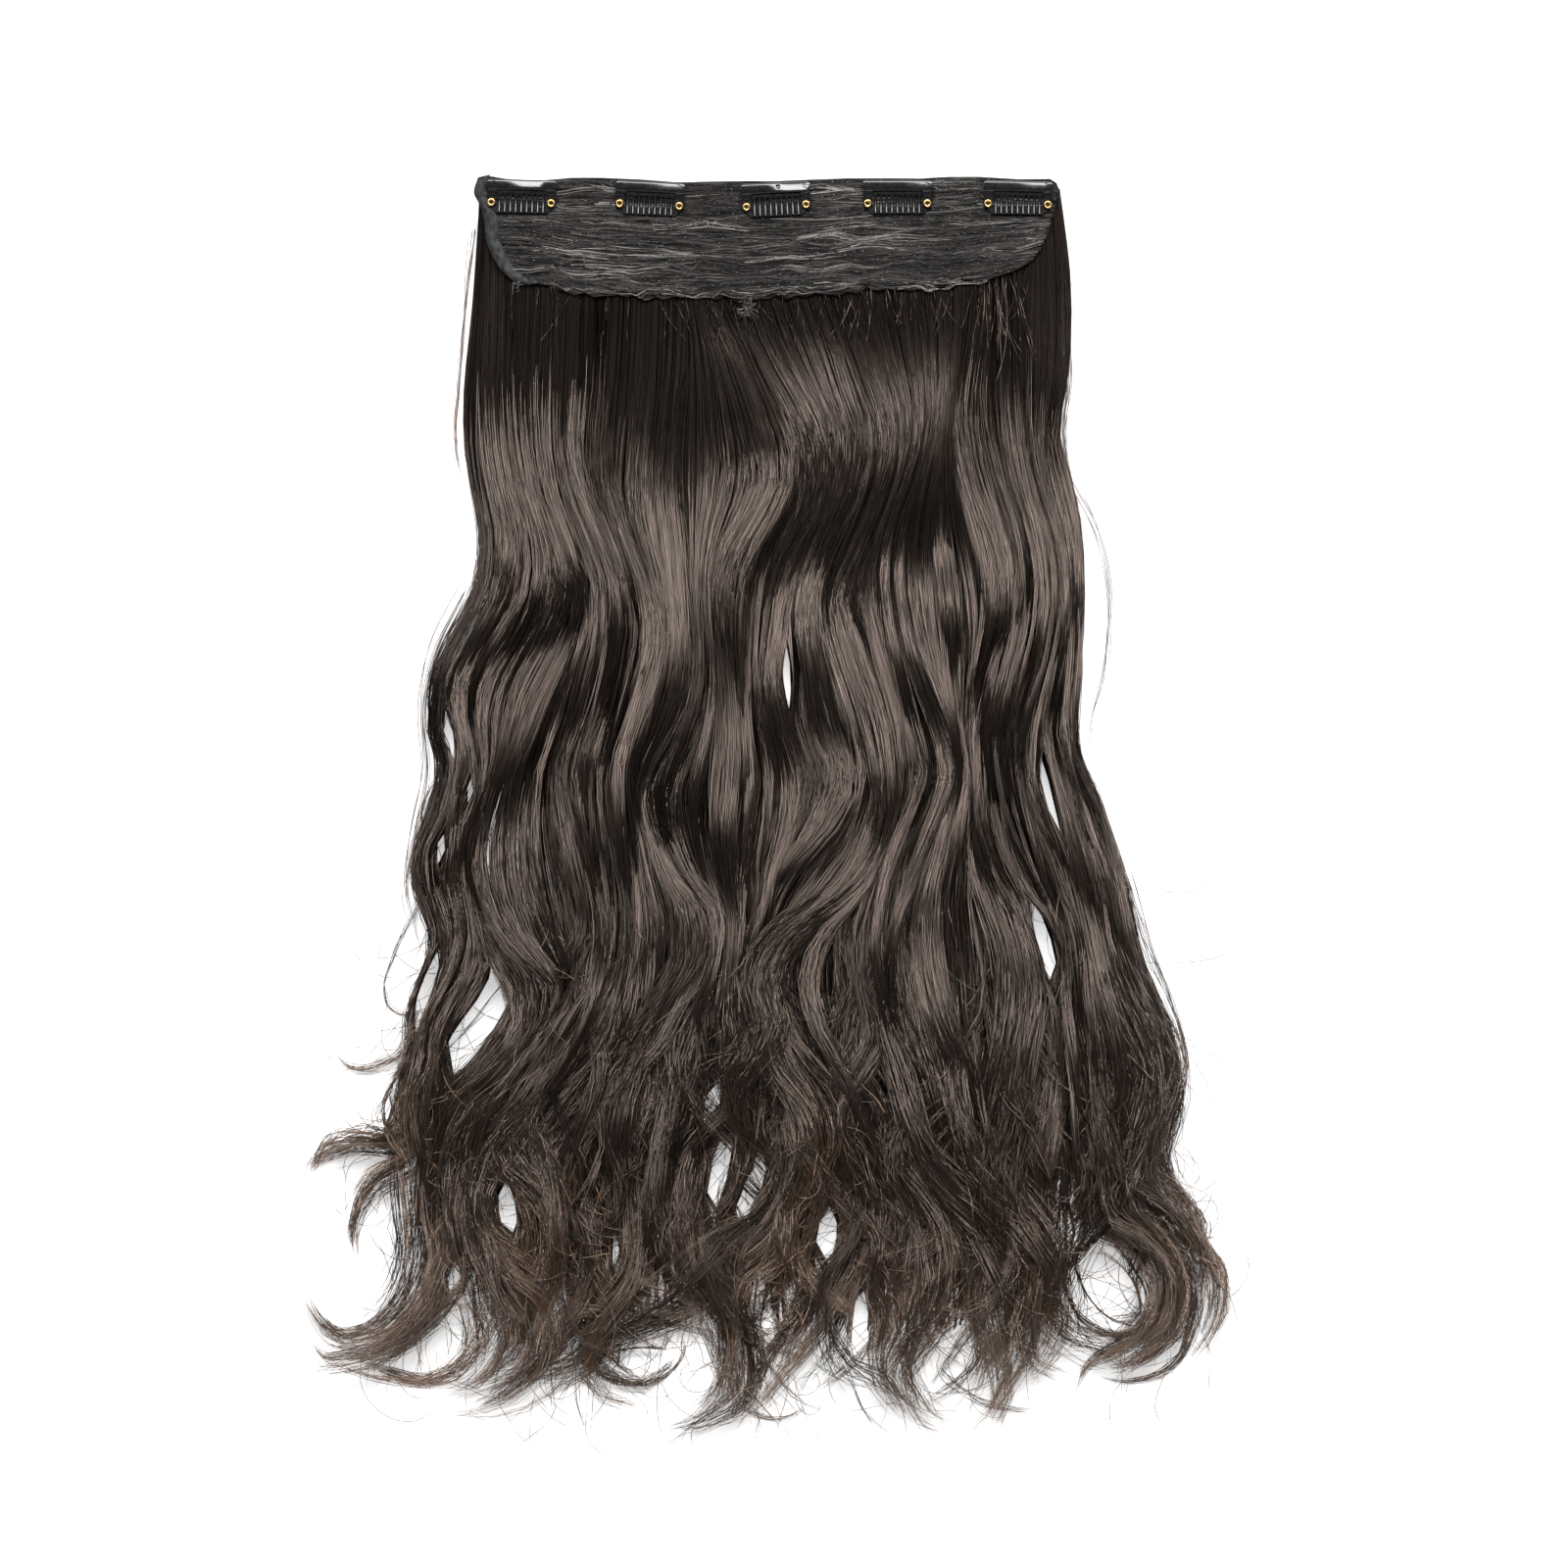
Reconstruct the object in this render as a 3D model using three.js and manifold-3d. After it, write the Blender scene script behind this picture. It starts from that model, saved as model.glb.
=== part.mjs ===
// A one-piece clip-in hair extension, laid on its outer side: a sewn net band with a row of snap clips along its
// upper edge, and wavy hair that is sewn in rows under the band and fans out into curled ends.
// Millimetres, +Z up. The origin is on the resting plane under the band's middle, +Y points from the hair's ends
// to the band, and the clips face +Z.

import * as THREE from "three";
import { mergeVertices } from "three/addons/utils/BufferGeometryUtils.js";
import Module from "manifold-3d";

const wasm = await Module();
wasm.setup();

// Driving dimensions.
const GAP = 0.3;

const BAND_TOP = 24.8;
const BAND_LOW = -20;
const BAND_BELLY = 7;
const BAND_WALL = 1.6;
const BAND_ACROSS = 20;
const BAND_ALONG = 6;

const ROOT_PAD = 5;
const HAIR_TOP = 24;
const FREE_FROM = -405;
const BODY_STEPS = 26;
const TIP_STEPS = 10;
const LOCK_SIDES = 8;
const LOCK_SPACE = 0.8;
const LOCK_FLANK = 0.3;
const WAVE_LENGTH = 122;
const WAVE_SWAY = 8;
const SWAY_LAG = 3;
const WAVE_HEIGHT = 0.16;
const CREST_LAG = 0.9;
const LOCK_SPREAD = 0.15;
const SPREAD_TURN = 2.4;
const WAVE_START = 40;
const WAVE_FULL = 120;
const TIP_SHARE = 0.08;
const TIP_LEAD = 28;

const ARC_STEPS = 2;
const CUTTER_DEPTH = 6;
const CLIP_SHEET = 0.5;
const SHEET_SPARE = 2;
const CLIP_ARM = 4;
const EYELET_X = 12.8;
const EYELET_HOLE = 1.25;
const BAR_TOP = 9.9;
const BAR_CORNER = 1.2;
const WINDOW_TOP = 5.2;
const TEETH = 9;
const TOOTH_PITCH = 2.35;
const TOOTH_WIDTH = 1.4;
const TOOTH_ROOT = WINDOW_TOP - GAP;
const SLOT_TOP = 3.9;
const TOOTH_TIP = -4.2;
const BOW_LOW = -4.3;
const BOW_HEIGHT = 1.7;
const BOW_TAB = 1.9;

const BAND_FLOOR = ROOT_PAD + GAP;
const CLIP_FLOOR = BAND_FLOOR + BAND_WALL;

// The band's left and right edges at heights down it.
const BAND_ROWS = [
  { y: 24.8, left: -124.7, right: 122.2 },
  { y: 18.5, left: -125.6, right: 124 },
  { y: 8, left: -121.8, right: 123.1 },
  { y: -2.5, left: -120.5, right: 119.5 },
  { y: -14.7, left: -114.2, right: 112.4 },
  { y: -20, left: -108.4, right: 100 },
];

// The hair's left and right edges and its thickness at heights down it.
const HAIR_ROWS = [
  { y: 24, left: -124, right: 123, thick: ROOT_PAD },
  { y: -36, left: -128, right: 129.8, thick: ROOT_PAD },
  { y: -52, left: -130, right: 129.5, thick: 8 },
  { y: -88, left: -132.5, right: 127.5, thick: 12 },
  { y: -130, left: -126, right: 134.5, thick: 14 },
  { y: -172, left: -138, right: 136, thick: 15 },
  { y: -200, left: -145, right: 133, thick: 15 },
  { y: -235, left: -141, right: 138, thick: 16 },
  { y: -277, left: -151, right: 153, thick: 17 },
  { y: -308, left: -146, right: 160, thick: 18 },
  { y: -361, left: -163, right: 177, thick: 18 },
  { y: -382, left: -165, right: 176, thick: 17 },
  { y: -420, left: -158, right: 180, thick: 11 },
];

// Places where two neighbouring locks part and the floor shows: the lock on the left of each, its middle and its size.
const PARTINGS = [
  { lock: 6, y: -189, length: 40, width: 6 },
  { lock: 10, y: -243, length: 44, width: 4 },
  { lock: 1, y: -343, length: 62, width: 13 },
  { lock: 5, y: -388, length: 56, width: 14 },
];

// Locks from left to right: the point that each one's free end bends round, and its tip.
const LOCK_ROWS = [
  { bendX: -150, bendY: -490, tipX: -197, tipY: -454 },
  { bendX: -112, bendY: -500, tipX: -180, tipY: -481 },
  { bendX: -86, bendY: -506, tipX: -143, tipY: -504 },
  { bendX: -60, bendY: -502, tipX: -104, tipY: -500 },
  { bendX: -30, bendY: -494, tipX: -70, tipY: -498 },
  { bendX: 2, bendY: -496, tipX: -38, tipY: -508 },
  { bendX: 38, bendY: -492, tipX: 6, tipY: -501 },
  { bendX: 70, bendY: -496, tipX: 40, tipY: -509 },
  { bendX: 104, bendY: -490, tipX: 72, tipY: -514 },
  { bendX: 166, bendY: -484, tipX: 118, tipY: -503 },
  { bendX: 216, bendY: -468, tipX: 176, tipY: -492 },
];

// Where each clip is sewn on: the middle of its eyelet line, and its tilt in degrees.
const CLIP_ROWS = [
  { x: -106, y: 14.1, tilt: -1.2 },
  { x: -51, y: 13.2, tilt: -2.6 },
  { x: 3.4, y: 12.8, tilt: 2.6 },
  { x: 55.4, y: 13.8, tilt: 0 },
  { x: 107, y: 13.5, tilt: -1.3 },
];

// The clip's stamped sheet seen from its end: height of its upper face at heights up the clip.
const FRAME_PROFILE = [
  { y: -2.4, z: 1.6 },
  { y: 4.2, z: 1.6 },
  { y: 5.2, z: 1.8 },
  { y: 6.4, z: 2.25 },
  { y: 8.4, z: 2.25 },
  { y: 9.4, z: 1.85 },
  { y: 10.2, z: 1.2 },
];
const COMB_CURVE = { root: [5, 1.8], crest: [0.8, 3.3], tip: [-4.4, 1.65], steps: 5 };

// One rolled eyelet: radius and height of its section, anticlockwise from the foot of the hole.
const EYELET_PROFILE = [
  { r: 0.6, z: 0.3 },
  { r: 0.95, z: 0.3 },
  { r: 0.95, z: 1.9 },
  { r: 1.75, z: 1.9 },
  { r: 1.8, z: 2.15 },
  { r: 1.3, z: 2.5 },
  { r: 0.6, z: 2.2 },
];
const EYELET_SEGMENTS = 10;

const hairMaterial = new THREE.MeshStandardMaterial({ color: 0x3a2f28, roughness: 0.45, flatShading: true });
const bandMaterial = new THREE.MeshStandardMaterial({ color: 0x4a4644, roughness: 0.85, flatShading: true });
const lacquer = new THREE.MeshStandardMaterial({ color: 0x101011, roughness: 0.2, metalness: 0.3, flatShading: true });
const brass = new THREE.MeshStandardMaterial({ color: 0xc8a05a, roughness: 0.3, metalness: 1, flatShading: true });

// The geometry with its shared points merged, each moved to where the function puts it.
function shaped(geometry, place = null) {
  geometry.deleteAttribute("normal");
  geometry.deleteAttribute("uv");
  const merged = mergeVertices(geometry);
  if (place) {
    const positions = merged.attributes.position;
    const point = new THREE.Vector3();
    for (let i = 0; i < positions.count; i++) {
      place(point.fromBufferAttribute(positions, i));
      positions.setXYZ(i, point.x, point.y, point.z);
    }
  }
  return merged;
}

function solid(geometry) {
  const merged = shaped(geometry);
  const vertProperties = new Float32Array(merged.attributes.position.array);
  const triVerts = new Uint32Array(merged.index.array);
  return new wasm.Manifold(new wasm.Mesh({ numProp: 3, vertProperties, triVerts }));
}

function geometryOf(manifold) {
  const mesh = manifold.getMesh();
  const geometry = new THREE.BufferGeometry();
  geometry.setAttribute("position", new THREE.BufferAttribute(new Float32Array(mesh.vertProperties), 3));
  geometry.setIndex(new THREE.BufferAttribute(new Uint32Array(mesh.triVerts), 1));
  return geometry;
}

// A column's value at height y, straight between the two rows around it.
function column(rows, name, y) {
  const below = Math.max(1, rows.findIndex((row) => row.y <= y));
  const upper = rows[below - 1];
  const lower = rows[below];
  return THREE.MathUtils.mapLinear(y, upper.y, lower.y, upper[name], lower[name]);
}

function prism(outline, depth) {
  return new THREE.ExtrudeGeometry(outline, { depth, bevelEnabled: false, curveSegments: ARC_STEPS });
}

// A sheet bent to a profile of heights along Y, as wide as asked along X.
function bentSheet(profile, width) {
  const upper = profile.map(({ y, z }) => new THREE.Vector2(y, z));
  const lower = profile.map(({ y, z }) => new THREE.Vector2(y, z - CLIP_SHEET)).reverse();
  const sheet = prism(new THREE.Shape([...upper, ...lower]), width);
  const along = new THREE.Vector3(0, 1, 0);
  const up = new THREE.Vector3(0, 0, 1);
  const across = new THREE.Vector3(1, 0, 0);
  sheet.applyMatrix4(new THREE.Matrix4().makeBasis(along, up, across));
  return sheet.translate(-width / 2, 0, 0);
}

function stamped(sheet, outline) {
  const cutter = prism(outline, CUTTER_DEPTH);
  return geometryOf(solid(sheet).intersect(solid(cutter)));
}

function weftBand() {
  const block = new THREE.BoxGeometry(1, 1, 1, BAND_ACROSS, BAND_ALONG, 1);
  return shaped(block, (point) => {
    const side = 2 * point.x;
    const down = 0.5 - point.y;
    const y = THREE.MathUtils.lerp(BAND_TOP, BAND_LOW, down);
    const left = column(BAND_ROWS, "left", y);
    const right = column(BAND_ROWS, "right", y);
    point.x = THREE.MathUtils.lerp(left, right, (side + 1) / 2);
    point.y = y - BAND_BELLY * down * (1 - side ** 4);
    point.z = BAND_FLOOR + (point.z > 0 ? BAND_WALL : 0);
  });
}

// Where a point lies across the waving hair at height y: share 0 is its left edge and 1 its right.
function across(share, y) {
  const left = column(HAIR_ROWS, "left", y);
  const right = column(HAIR_ROWS, "right", y);
  const grown = THREE.MathUtils.smoothstep(-y, WAVE_START, WAVE_FULL);
  const sway = grown * WAVE_SWAY * Math.sin((2 * Math.PI * y) / WAVE_LENGTH + SWAY_LAG * share);
  return THREE.MathUtils.lerp(left, right, share) + sway * (1 - (2 * share - 1) ** 2);
}

// Half the space between a lock and the next one on its right at height y.
function halfParting(lock, y) {
  const open = PARTINGS.filter((row) => row.lock === lock);
  const widths = open.map((row) => row.width * Math.max(0, 1 - ((2 * (y - row.y)) / row.length) ** 2));
  return (LOCK_SPACE + widths.reduce((sum, width) => sum + width, 0)) / 2;
}

function lockHeight(lock, y) {
  const grown = THREE.MathUtils.smoothstep(-y, WAVE_START, WAVE_FULL);
  const crest = WAVE_HEIGHT * Math.sin((2 * Math.PI * y) / WAVE_LENGTH + CREST_LAG * lock);
  const spread = LOCK_SPREAD * Math.cos(SPREAD_TURN * lock);
  return column(HAIR_ROWS, "thick", y) * (1 + grown * (crest + spread));
}

// A lock's section at height y: its middle and half its width.
function lockSection(lock, y) {
  const left = across((lock - 1) / LOCK_ROWS.length, y) + halfParting(lock - 1, y);
  const right = across(lock / LOCK_ROWS.length, y) - halfParting(lock, y);
  return { middle: (left + right) / 2, half: (right - left) / 2 };
}

// One lock: side by side with its neighbours down to where it comes free, then a tapering curl on the resting plane.
function hairLock(lock, { bendX, bendY, tipX, tipY }) {
  const last = lockSection(lock, FREE_FROM);
  const lastHeight = lockHeight(lock, FREE_FROM);
  const drift = lockSection(lock, FREE_FROM + 1).middle - last.middle;
  const curl = new THREE.CubicBezierCurve(
    new THREE.Vector2(last.middle, FREE_FROM),
    new THREE.Vector2(last.middle - drift * TIP_LEAD, FREE_FROM - TIP_LEAD),
    new THREE.Vector2(bendX, bendY),
    new THREE.Vector2(tipX, tipY),
  );
  const tube = new THREE.CylinderGeometry(1, 1, 1, LOCK_SIDES, BODY_STEPS + TIP_STEPS);
  return shaped(tube, (point) => {
    const step = (0.5 - point.y) * (BODY_STEPS + TIP_STEPS);
    const sideways = Math.sign(point.x) * Math.sqrt(Math.abs(point.x));
    const upwards = Math.max(0, LOCK_FLANK + (1 - LOCK_FLANK) * point.z);
    if (step <= BODY_STEPS) {
      const y = THREE.MathUtils.lerp(HAIR_TOP, FREE_FROM, step / BODY_STEPS);
      const { middle, half } = lockSection(lock, y);
      point.set(middle + sideways * half, y, upwards * lockHeight(lock, y));
    } else {
      const along = (step - BODY_STEPS) / TIP_STEPS;
      const centre = curl.getPoint(along);
      const heading = curl.getTangent(along);
      const taper = TIP_SHARE + (1 - TIP_SHARE) * Math.sqrt(1 - along);
      const offset = sideways * taper * last.half;
      point.set(centre.x - heading.y * offset, centre.y + heading.x * offset, upwards * taper * lastHeight);
    }
  });
}

function eyeletHole(side) {
  const hole = new THREE.Path();
  hole.absarc(side * EYELET_X, 0, EYELET_HOLE, 0, Math.PI);
  hole.absarc(side * EYELET_X, 0, EYELET_HOLE, Math.PI, 2 * Math.PI);
  return hole;
}

// The bar along the band's edge with an arm down each side, each arm rounded off about its eyelet.
function clipFrame() {
  const half = EYELET_X + CLIP_ARM / 2;
  const window = EYELET_X - CLIP_ARM / 2;
  const outline = new THREE.Shape();
  outline.absarc(half - BAR_CORNER, BAR_TOP - BAR_CORNER, BAR_CORNER, 0, Math.PI / 2);
  outline.absarc(BAR_CORNER - half, BAR_TOP - BAR_CORNER, BAR_CORNER, Math.PI / 2, Math.PI);
  outline.absarc(-EYELET_X, 0, CLIP_ARM / 2, Math.PI, 2 * Math.PI);
  outline.lineTo(-window, WINDOW_TOP);
  outline.lineTo(window, WINDOW_TOP);
  outline.absarc(EYELET_X, 0, CLIP_ARM / 2, Math.PI, 2 * Math.PI);
  outline.closePath();
  outline.holes.push(eyeletHole(-1), eyeletHole(1));
  return stamped(bentSheet(FRAME_PROFILE, 2 * half + SHEET_SPARE), outline);
}

// The row of bowed teeth, joined along their roots under the bar.
function clipComb() {
  const half = ((TEETH - 1) * TOOTH_PITCH + TOOTH_WIDTH) / 2;
  const tipRadius = TOOTH_WIDTH / 2;
  const slotRadius = (TOOTH_PITCH - TOOTH_WIDTH) / 2;
  const outline = new THREE.Shape();
  outline.moveTo(half, TOOTH_ROOT);
  outline.lineTo(-half, TOOTH_ROOT);
  for (let tooth = 0; tooth < TEETH; tooth++) {
    const x = tipRadius - half + tooth * TOOTH_PITCH;
    outline.absarc(x, TOOTH_TIP + tipRadius, tipRadius, Math.PI, 2 * Math.PI);
    if (tooth < TEETH - 1) {
      outline.absarc(x + TOOTH_PITCH / 2, SLOT_TOP - slotRadius, slotRadius, Math.PI, 0, true);
    }
  }
  outline.closePath();
  const { root, crest, tip, steps } = COMB_CURVE;
  const [from, over, to] = [root, crest, tip].map(([y, z]) => new THREE.Vector2(y, z));
  const profile = new THREE.QuadraticBezierCurve(from, over, to).getPoints(steps);
  const heights = profile.map(({ x, y }) => ({ y: x, z: y }));
  return stamped(bentSheet(heights, 2 * half + SHEET_SPARE), outline);
}

// The flat strip under the teeth's points, from one eyelet to the other.
function clipBow() {
  const reach = EYELET_X - BOW_TAB;
  const outline = new THREE.Shape();
  outline.absarc(-EYELET_X, 0, BOW_TAB, Math.PI / 2, (5 * Math.PI) / 4);
  outline.lineTo(-reach, BOW_LOW);
  outline.lineTo(reach, BOW_LOW);
  outline.absarc(EYELET_X, 0, BOW_TAB, -Math.PI / 4, Math.PI / 2);
  outline.lineTo(reach, 0);
  outline.lineTo(reach - BOW_HEIGHT, BOW_LOW + BOW_HEIGHT);
  outline.lineTo(BOW_HEIGHT - reach, BOW_LOW + BOW_HEIGHT);
  outline.lineTo(-reach, 0);
  outline.closePath();
  outline.holes.push(eyeletHole(-1), eyeletHole(1));
  return prism(outline, CLIP_SHEET).translate(0, 0, GAP);
}

function clipEyelet(side) {
  const section = [...EYELET_PROFILE, EYELET_PROFILE[0]].map(({ r, z }) => new THREE.Vector2(r, z));
  const ring = new THREE.LatheGeometry(section, EYELET_SEGMENTS);
  ring.rotateX(Math.PI / 2);
  return ring.translate(side * EYELET_X, 0, 0);
}

function named(name, geometry, material) {
  const mesh = new THREE.Mesh(geometry, material);
  mesh.name = name;
  return mesh;
}

function clip(number, { x, y, tilt }) {
  const group = new THREE.Group();
  group.position.set(x, y, CLIP_FLOOR);
  group.rotation.z = THREE.MathUtils.degToRad(tilt);
  group.add(named(`clip_${number}_frame`, clipFrame(), lacquer));
  group.add(named(`clip_${number}_comb`, clipComb(), lacquer));
  group.add(named(`clip_${number}_bow`, clipBow(), lacquer));
  group.add(named(`clip_${number}_eyelet_left`, clipEyelet(-1), brass));
  group.add(named(`clip_${number}_eyelet_right`, clipEyelet(1), brass));
  return group;
}

const extension = new THREE.Group();
extension.add(named("weft_band", weftBand(), bandMaterial));
LOCK_ROWS.forEach((row, i) => {
  extension.add(named(`hair_lock_${i + 1}`, hairLock(i + 1, row), hairMaterial));
});
CLIP_ROWS.forEach((row, i) => extension.add(clip(i + 1, row)));

export default extension;
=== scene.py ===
import math

import bmesh
import bpy
import numpy as np
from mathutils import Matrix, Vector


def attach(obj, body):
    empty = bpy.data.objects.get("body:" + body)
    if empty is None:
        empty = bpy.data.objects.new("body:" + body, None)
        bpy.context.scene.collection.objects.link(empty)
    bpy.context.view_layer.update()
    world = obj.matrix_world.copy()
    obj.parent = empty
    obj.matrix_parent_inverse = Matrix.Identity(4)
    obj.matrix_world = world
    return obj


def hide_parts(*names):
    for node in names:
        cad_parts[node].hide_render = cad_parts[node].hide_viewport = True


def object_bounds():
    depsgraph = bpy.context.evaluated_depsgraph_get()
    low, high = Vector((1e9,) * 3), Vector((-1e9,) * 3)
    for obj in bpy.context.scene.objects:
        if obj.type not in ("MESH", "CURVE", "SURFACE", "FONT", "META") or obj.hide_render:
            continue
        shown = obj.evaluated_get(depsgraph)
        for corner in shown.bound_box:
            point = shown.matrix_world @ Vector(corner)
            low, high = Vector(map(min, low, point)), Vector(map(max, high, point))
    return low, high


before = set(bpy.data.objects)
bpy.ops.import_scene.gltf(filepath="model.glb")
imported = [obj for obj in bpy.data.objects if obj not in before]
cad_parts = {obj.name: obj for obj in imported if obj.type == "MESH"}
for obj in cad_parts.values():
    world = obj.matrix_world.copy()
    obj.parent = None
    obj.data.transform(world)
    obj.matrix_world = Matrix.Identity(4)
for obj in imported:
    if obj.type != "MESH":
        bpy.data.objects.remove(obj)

CAD_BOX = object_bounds()
MM = 0.001
RANDOM = np.random.default_rng(20)

# The photograph's scale, its side in pixels, and the pixel over the row frame's origin.
PIXEL = 0.42 * MM
PHOTO_SIDE = 1600
ORIGIN_PIXEL = (784, 240)

# The camera straight above: focal length and sensor width in mm, and the height that is true to scale.
CAMERA_LENS = 100
CAMERA_SENSOR = 36
SCALE_HEIGHT = 10 * MM

# Strength of the surrounding light, and of the same backdrop as the camera sees it.
WORLD_LIGHT = 0.1
WORLD_SEEN = 0.9

# Lamps that face the middle of the hair: name, place and size in metres, power in watts.
LAMPS = (
    ("key", (0.0, 2.0, 3.4), (3.6, 1.4), 240),
    ("fill", (0.0, -3.2, 2.4), (3.0, 1.2), 10),
)
LAMP_TARGET = (0.0067, -0.235, 0)
FLOOR_SIDE = 8

# Hair, as flat ribbons. Places along the hair are in photo pixels, and guides are counted from the left.
STRAND_WIDTH = 0.30 * MM
FINE_WIDTH = 0.3 * MM
LOCK_COUNT = 11
LOCK_Y = 300.0
LAYERS = 3
FLOOR_GAP = 0.4 * MM
LEAST_HEIGHT = 0.1 * MM
TALLEST = 31 * MM
STRAY_REACH = 9 * MM

# How far a ribbon rolls, in radians, how far its shading turns at its edges, in degrees, and the share of
# its width from root to tip.
FIBRE_TWIST = 0.9
FIBRE_BEND = 50
TAPER_ROWS = ((0, 0.8), (0.05, 1), (0.88, 0.95), (1, 0.35))

# How far the fibres' scales lean back, in degrees, by place along the strand.
SCALE_ROWS = ((0, 0), (0.2, 0), (0.34, 6), (0.5, 8), (1, 9))

# Shades of the fibre: how many, the stretch of one shade's strip that is used, the darkest and lightest
# factor, and the power that makes light fibres rare.
COLOUR_CLASSES = 64
CLASS_EDGES = (0.1, 0.9)
SHADE_RANGE = (0.6, 4.0)
SHADE_POWER = 4.0

# Colour of the fibre, by place along the strand.
# Near-black roots are painted shade below the band; lighter, warmer ends paint light through thin tips.
FIBRE_RAMP = (
    (0.0, (0.0009, 0.0006, 0.0005)),
    (0.08, (0.001, 0.0007, 0.0005)),
    (0.17, (0.002, 0.0014, 0.001)),
    (0.3, (0.0038, 0.0027, 0.002)),
    (0.38, (0.0065, 0.0047, 0.0035)),
    (0.7, (0.0095, 0.0066, 0.0049)),
    (0.82, (0.013, 0.0084, 0.0057)),
    (0.91, (0.036, 0.0225, 0.0144)),
    (1.0, (0.15, 0.091, 0.055)),
)

# Roughness of the lightest fibres, between two places along the strand, and of the darkest ones, by
# place.
LIGHT_ROUGH_PLACES = (0.05, 0.1)
LIGHT_ROUGH = (0.2, 0.24)
DARK_ROUGH_ROWS = ((0.05, 0.24), (0.1, 0.3), (0.35, 0.36))
FIBRE_IOR = 1.75
FIBRE_TINT = (1, 0.79, 0.68, 1)

# Sets of strands: count, wisps in each layer, points on a strand, highest and lowest root, which are None
# for roots at the band, share of loose locks, share of dark wisps.
LONG_SET = (6600, 60, 37, None, None, 0.35, 0.06)
LOWER_SET = (4500, 36, 24, 800, 1010, 0.6, 0.35)

# Where the lower set's colour starts along a strand, and where its strands come up out of the others.
LOWER_FIRST = 0.55
LOWER_DIP = (-0.1, 0.35)

# Roots at the band: the guides between which the band covers them, their y outside and inside, and its
# spread.
EDGE_GUIDES = (1.2, 15.3)
EDGE_ROOT_Y = 195
INNER_ROOT_Y = 258
ROOT_SPREAD = (-8, 22)

# Wisps: their roundness, the range of their waves' height, the guides over which the left edge keeps full
# waves, the spread of their crests, and the range of their length.
WISP_ROUND = 2.5 * MM
WISP_SWELL = (0.6, 1.2)
EDGE_SWELL = (0.8, 1.4)
WISP_LATE = 0.08
WISP_REACH = (0.92, 1.0)

# What a wisp and what a strand adds to a strand's height in its layer and to its shade.
LEVEL_SHARES = (0.7, 0.3)
TONE_SHARES = (0.55, 0.45)

# How wisps gather into locks: over what length, how far above the lock the guide ends, the lock's width
# where it starts and what is lost to its tip, the share of length that tips may lose, and how much points
# crowd to the tip.
GATHER_LENGTH = 240
BODY_GAP = 15
LOCK_WIDTHS = (1.6, 1.2)
TIP_LOSS = 0.16
CROWDING = 0.25

# Locks of the lower hair that are not traced: width, guides, step between points, lowest y and how far
# tips may pass it, range of length, of lift in mm, of swing and of curl in radians, and how they turn
# from step to step.
LOOSE_WIDTH = 52
LOOSE_GUIDES = (2, 15)
LOOSE_STEP = 28
LOOSE_LAST_Y = 1420
LOOSE_OVERRUN = 30
LOOSE_REACH = (0.85, 1.0)
LOOSE_LIFT = (0, 4)
LOOSE_SWING = (0.5, 1.0)
LOOSE_CURL = (0.3, 0.75)
LOOSE_CURL_STEPS = 5
LOOSE_TURN = 0.75
LOOSE_FOLLOW = 0.6

# How tightly a wisp's strands keep together, and how far they drift aside in photo pixels, by photo y,
# how much more at the tip, a strand's own least and added share, and its share along the hair.
TIGHT_ROWS = ((320, 1.0), (900, 0.6), (1250, 0.45))
DRIFT_ROWS = ((300, 0.6), (600, 2.5), (1000, 5), (1400, 7))
TIP_DRIFT = 12
OWN_DRIFT = (0.12, 0.9)
DOWN_DRIFT = 0.4

# Waves: height, the length of a wave of that height, how round crests are and where they may lie, and how
# much of a wave the lowest strands take up and what the height adds.
WAVE_HEIGHT = 17 * MM
WAVE_SPAN = 300
WAVE_ROUND = 0.3
CREST_LIMITS = (0.25, 0.9)
ARCH_SHARES = (0.35, 0.65)

# Height of the hair's stack, by photo pixels below the first valley, or below the second at the guides
# where the stack settles later, and how much of the waves is left, by photo y.
STACK_ROWS = ((-190, 4.4), (-90, 4.2), (0, 2.5), (110, 7), (300, 9.5), (900, 9.5), (1100, 8))
LATE_STACK_ROWS = ((7.3, 0), (7.7, 1), (13.3, 1), (13.7, 0))
WAVE_ROWS = ((290, 1), (1200, 1), (1480, 0.5))

# How far one wisp's waves may be ahead of its neighbours', and how round the wisps are, by photo y.
SHIFT_ROWS = ((400, 4), (480, 8), (570, 18), (630, 60), (720, 85), (900, 90), (1200, 95))
ROUND_ROWS = ((300, 0.2), (480, 0.4), (800, 1), (1300, 0.7))

# Guides whose waves keep closer together, and by how much, above the photo y where that ends.
CALM_ROWS = ((5.2, 1), (5.8, 0.3), (7.2, 0.3), (7.8, 1))
CALM_FADE = (600, 720)

# How far single strands' first waves differ, in photo pixels, by guide, where that fades, by photo y, and
# by how much. Strands that differ this much may also climb later, by up to this power.
JITTER_ROWS = ((0, 34), (4.5, 30), (5.5, 12), (7.3, 8), (8, 4), (12.5, 4), (13.4, 10), (14.2, 26), (17, 32))
JITTER_FADE = (440, 580)
JITTER_LOST = 0.7
LATE_JITTER = 25
LATE_CLIMB = 0.7

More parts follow.
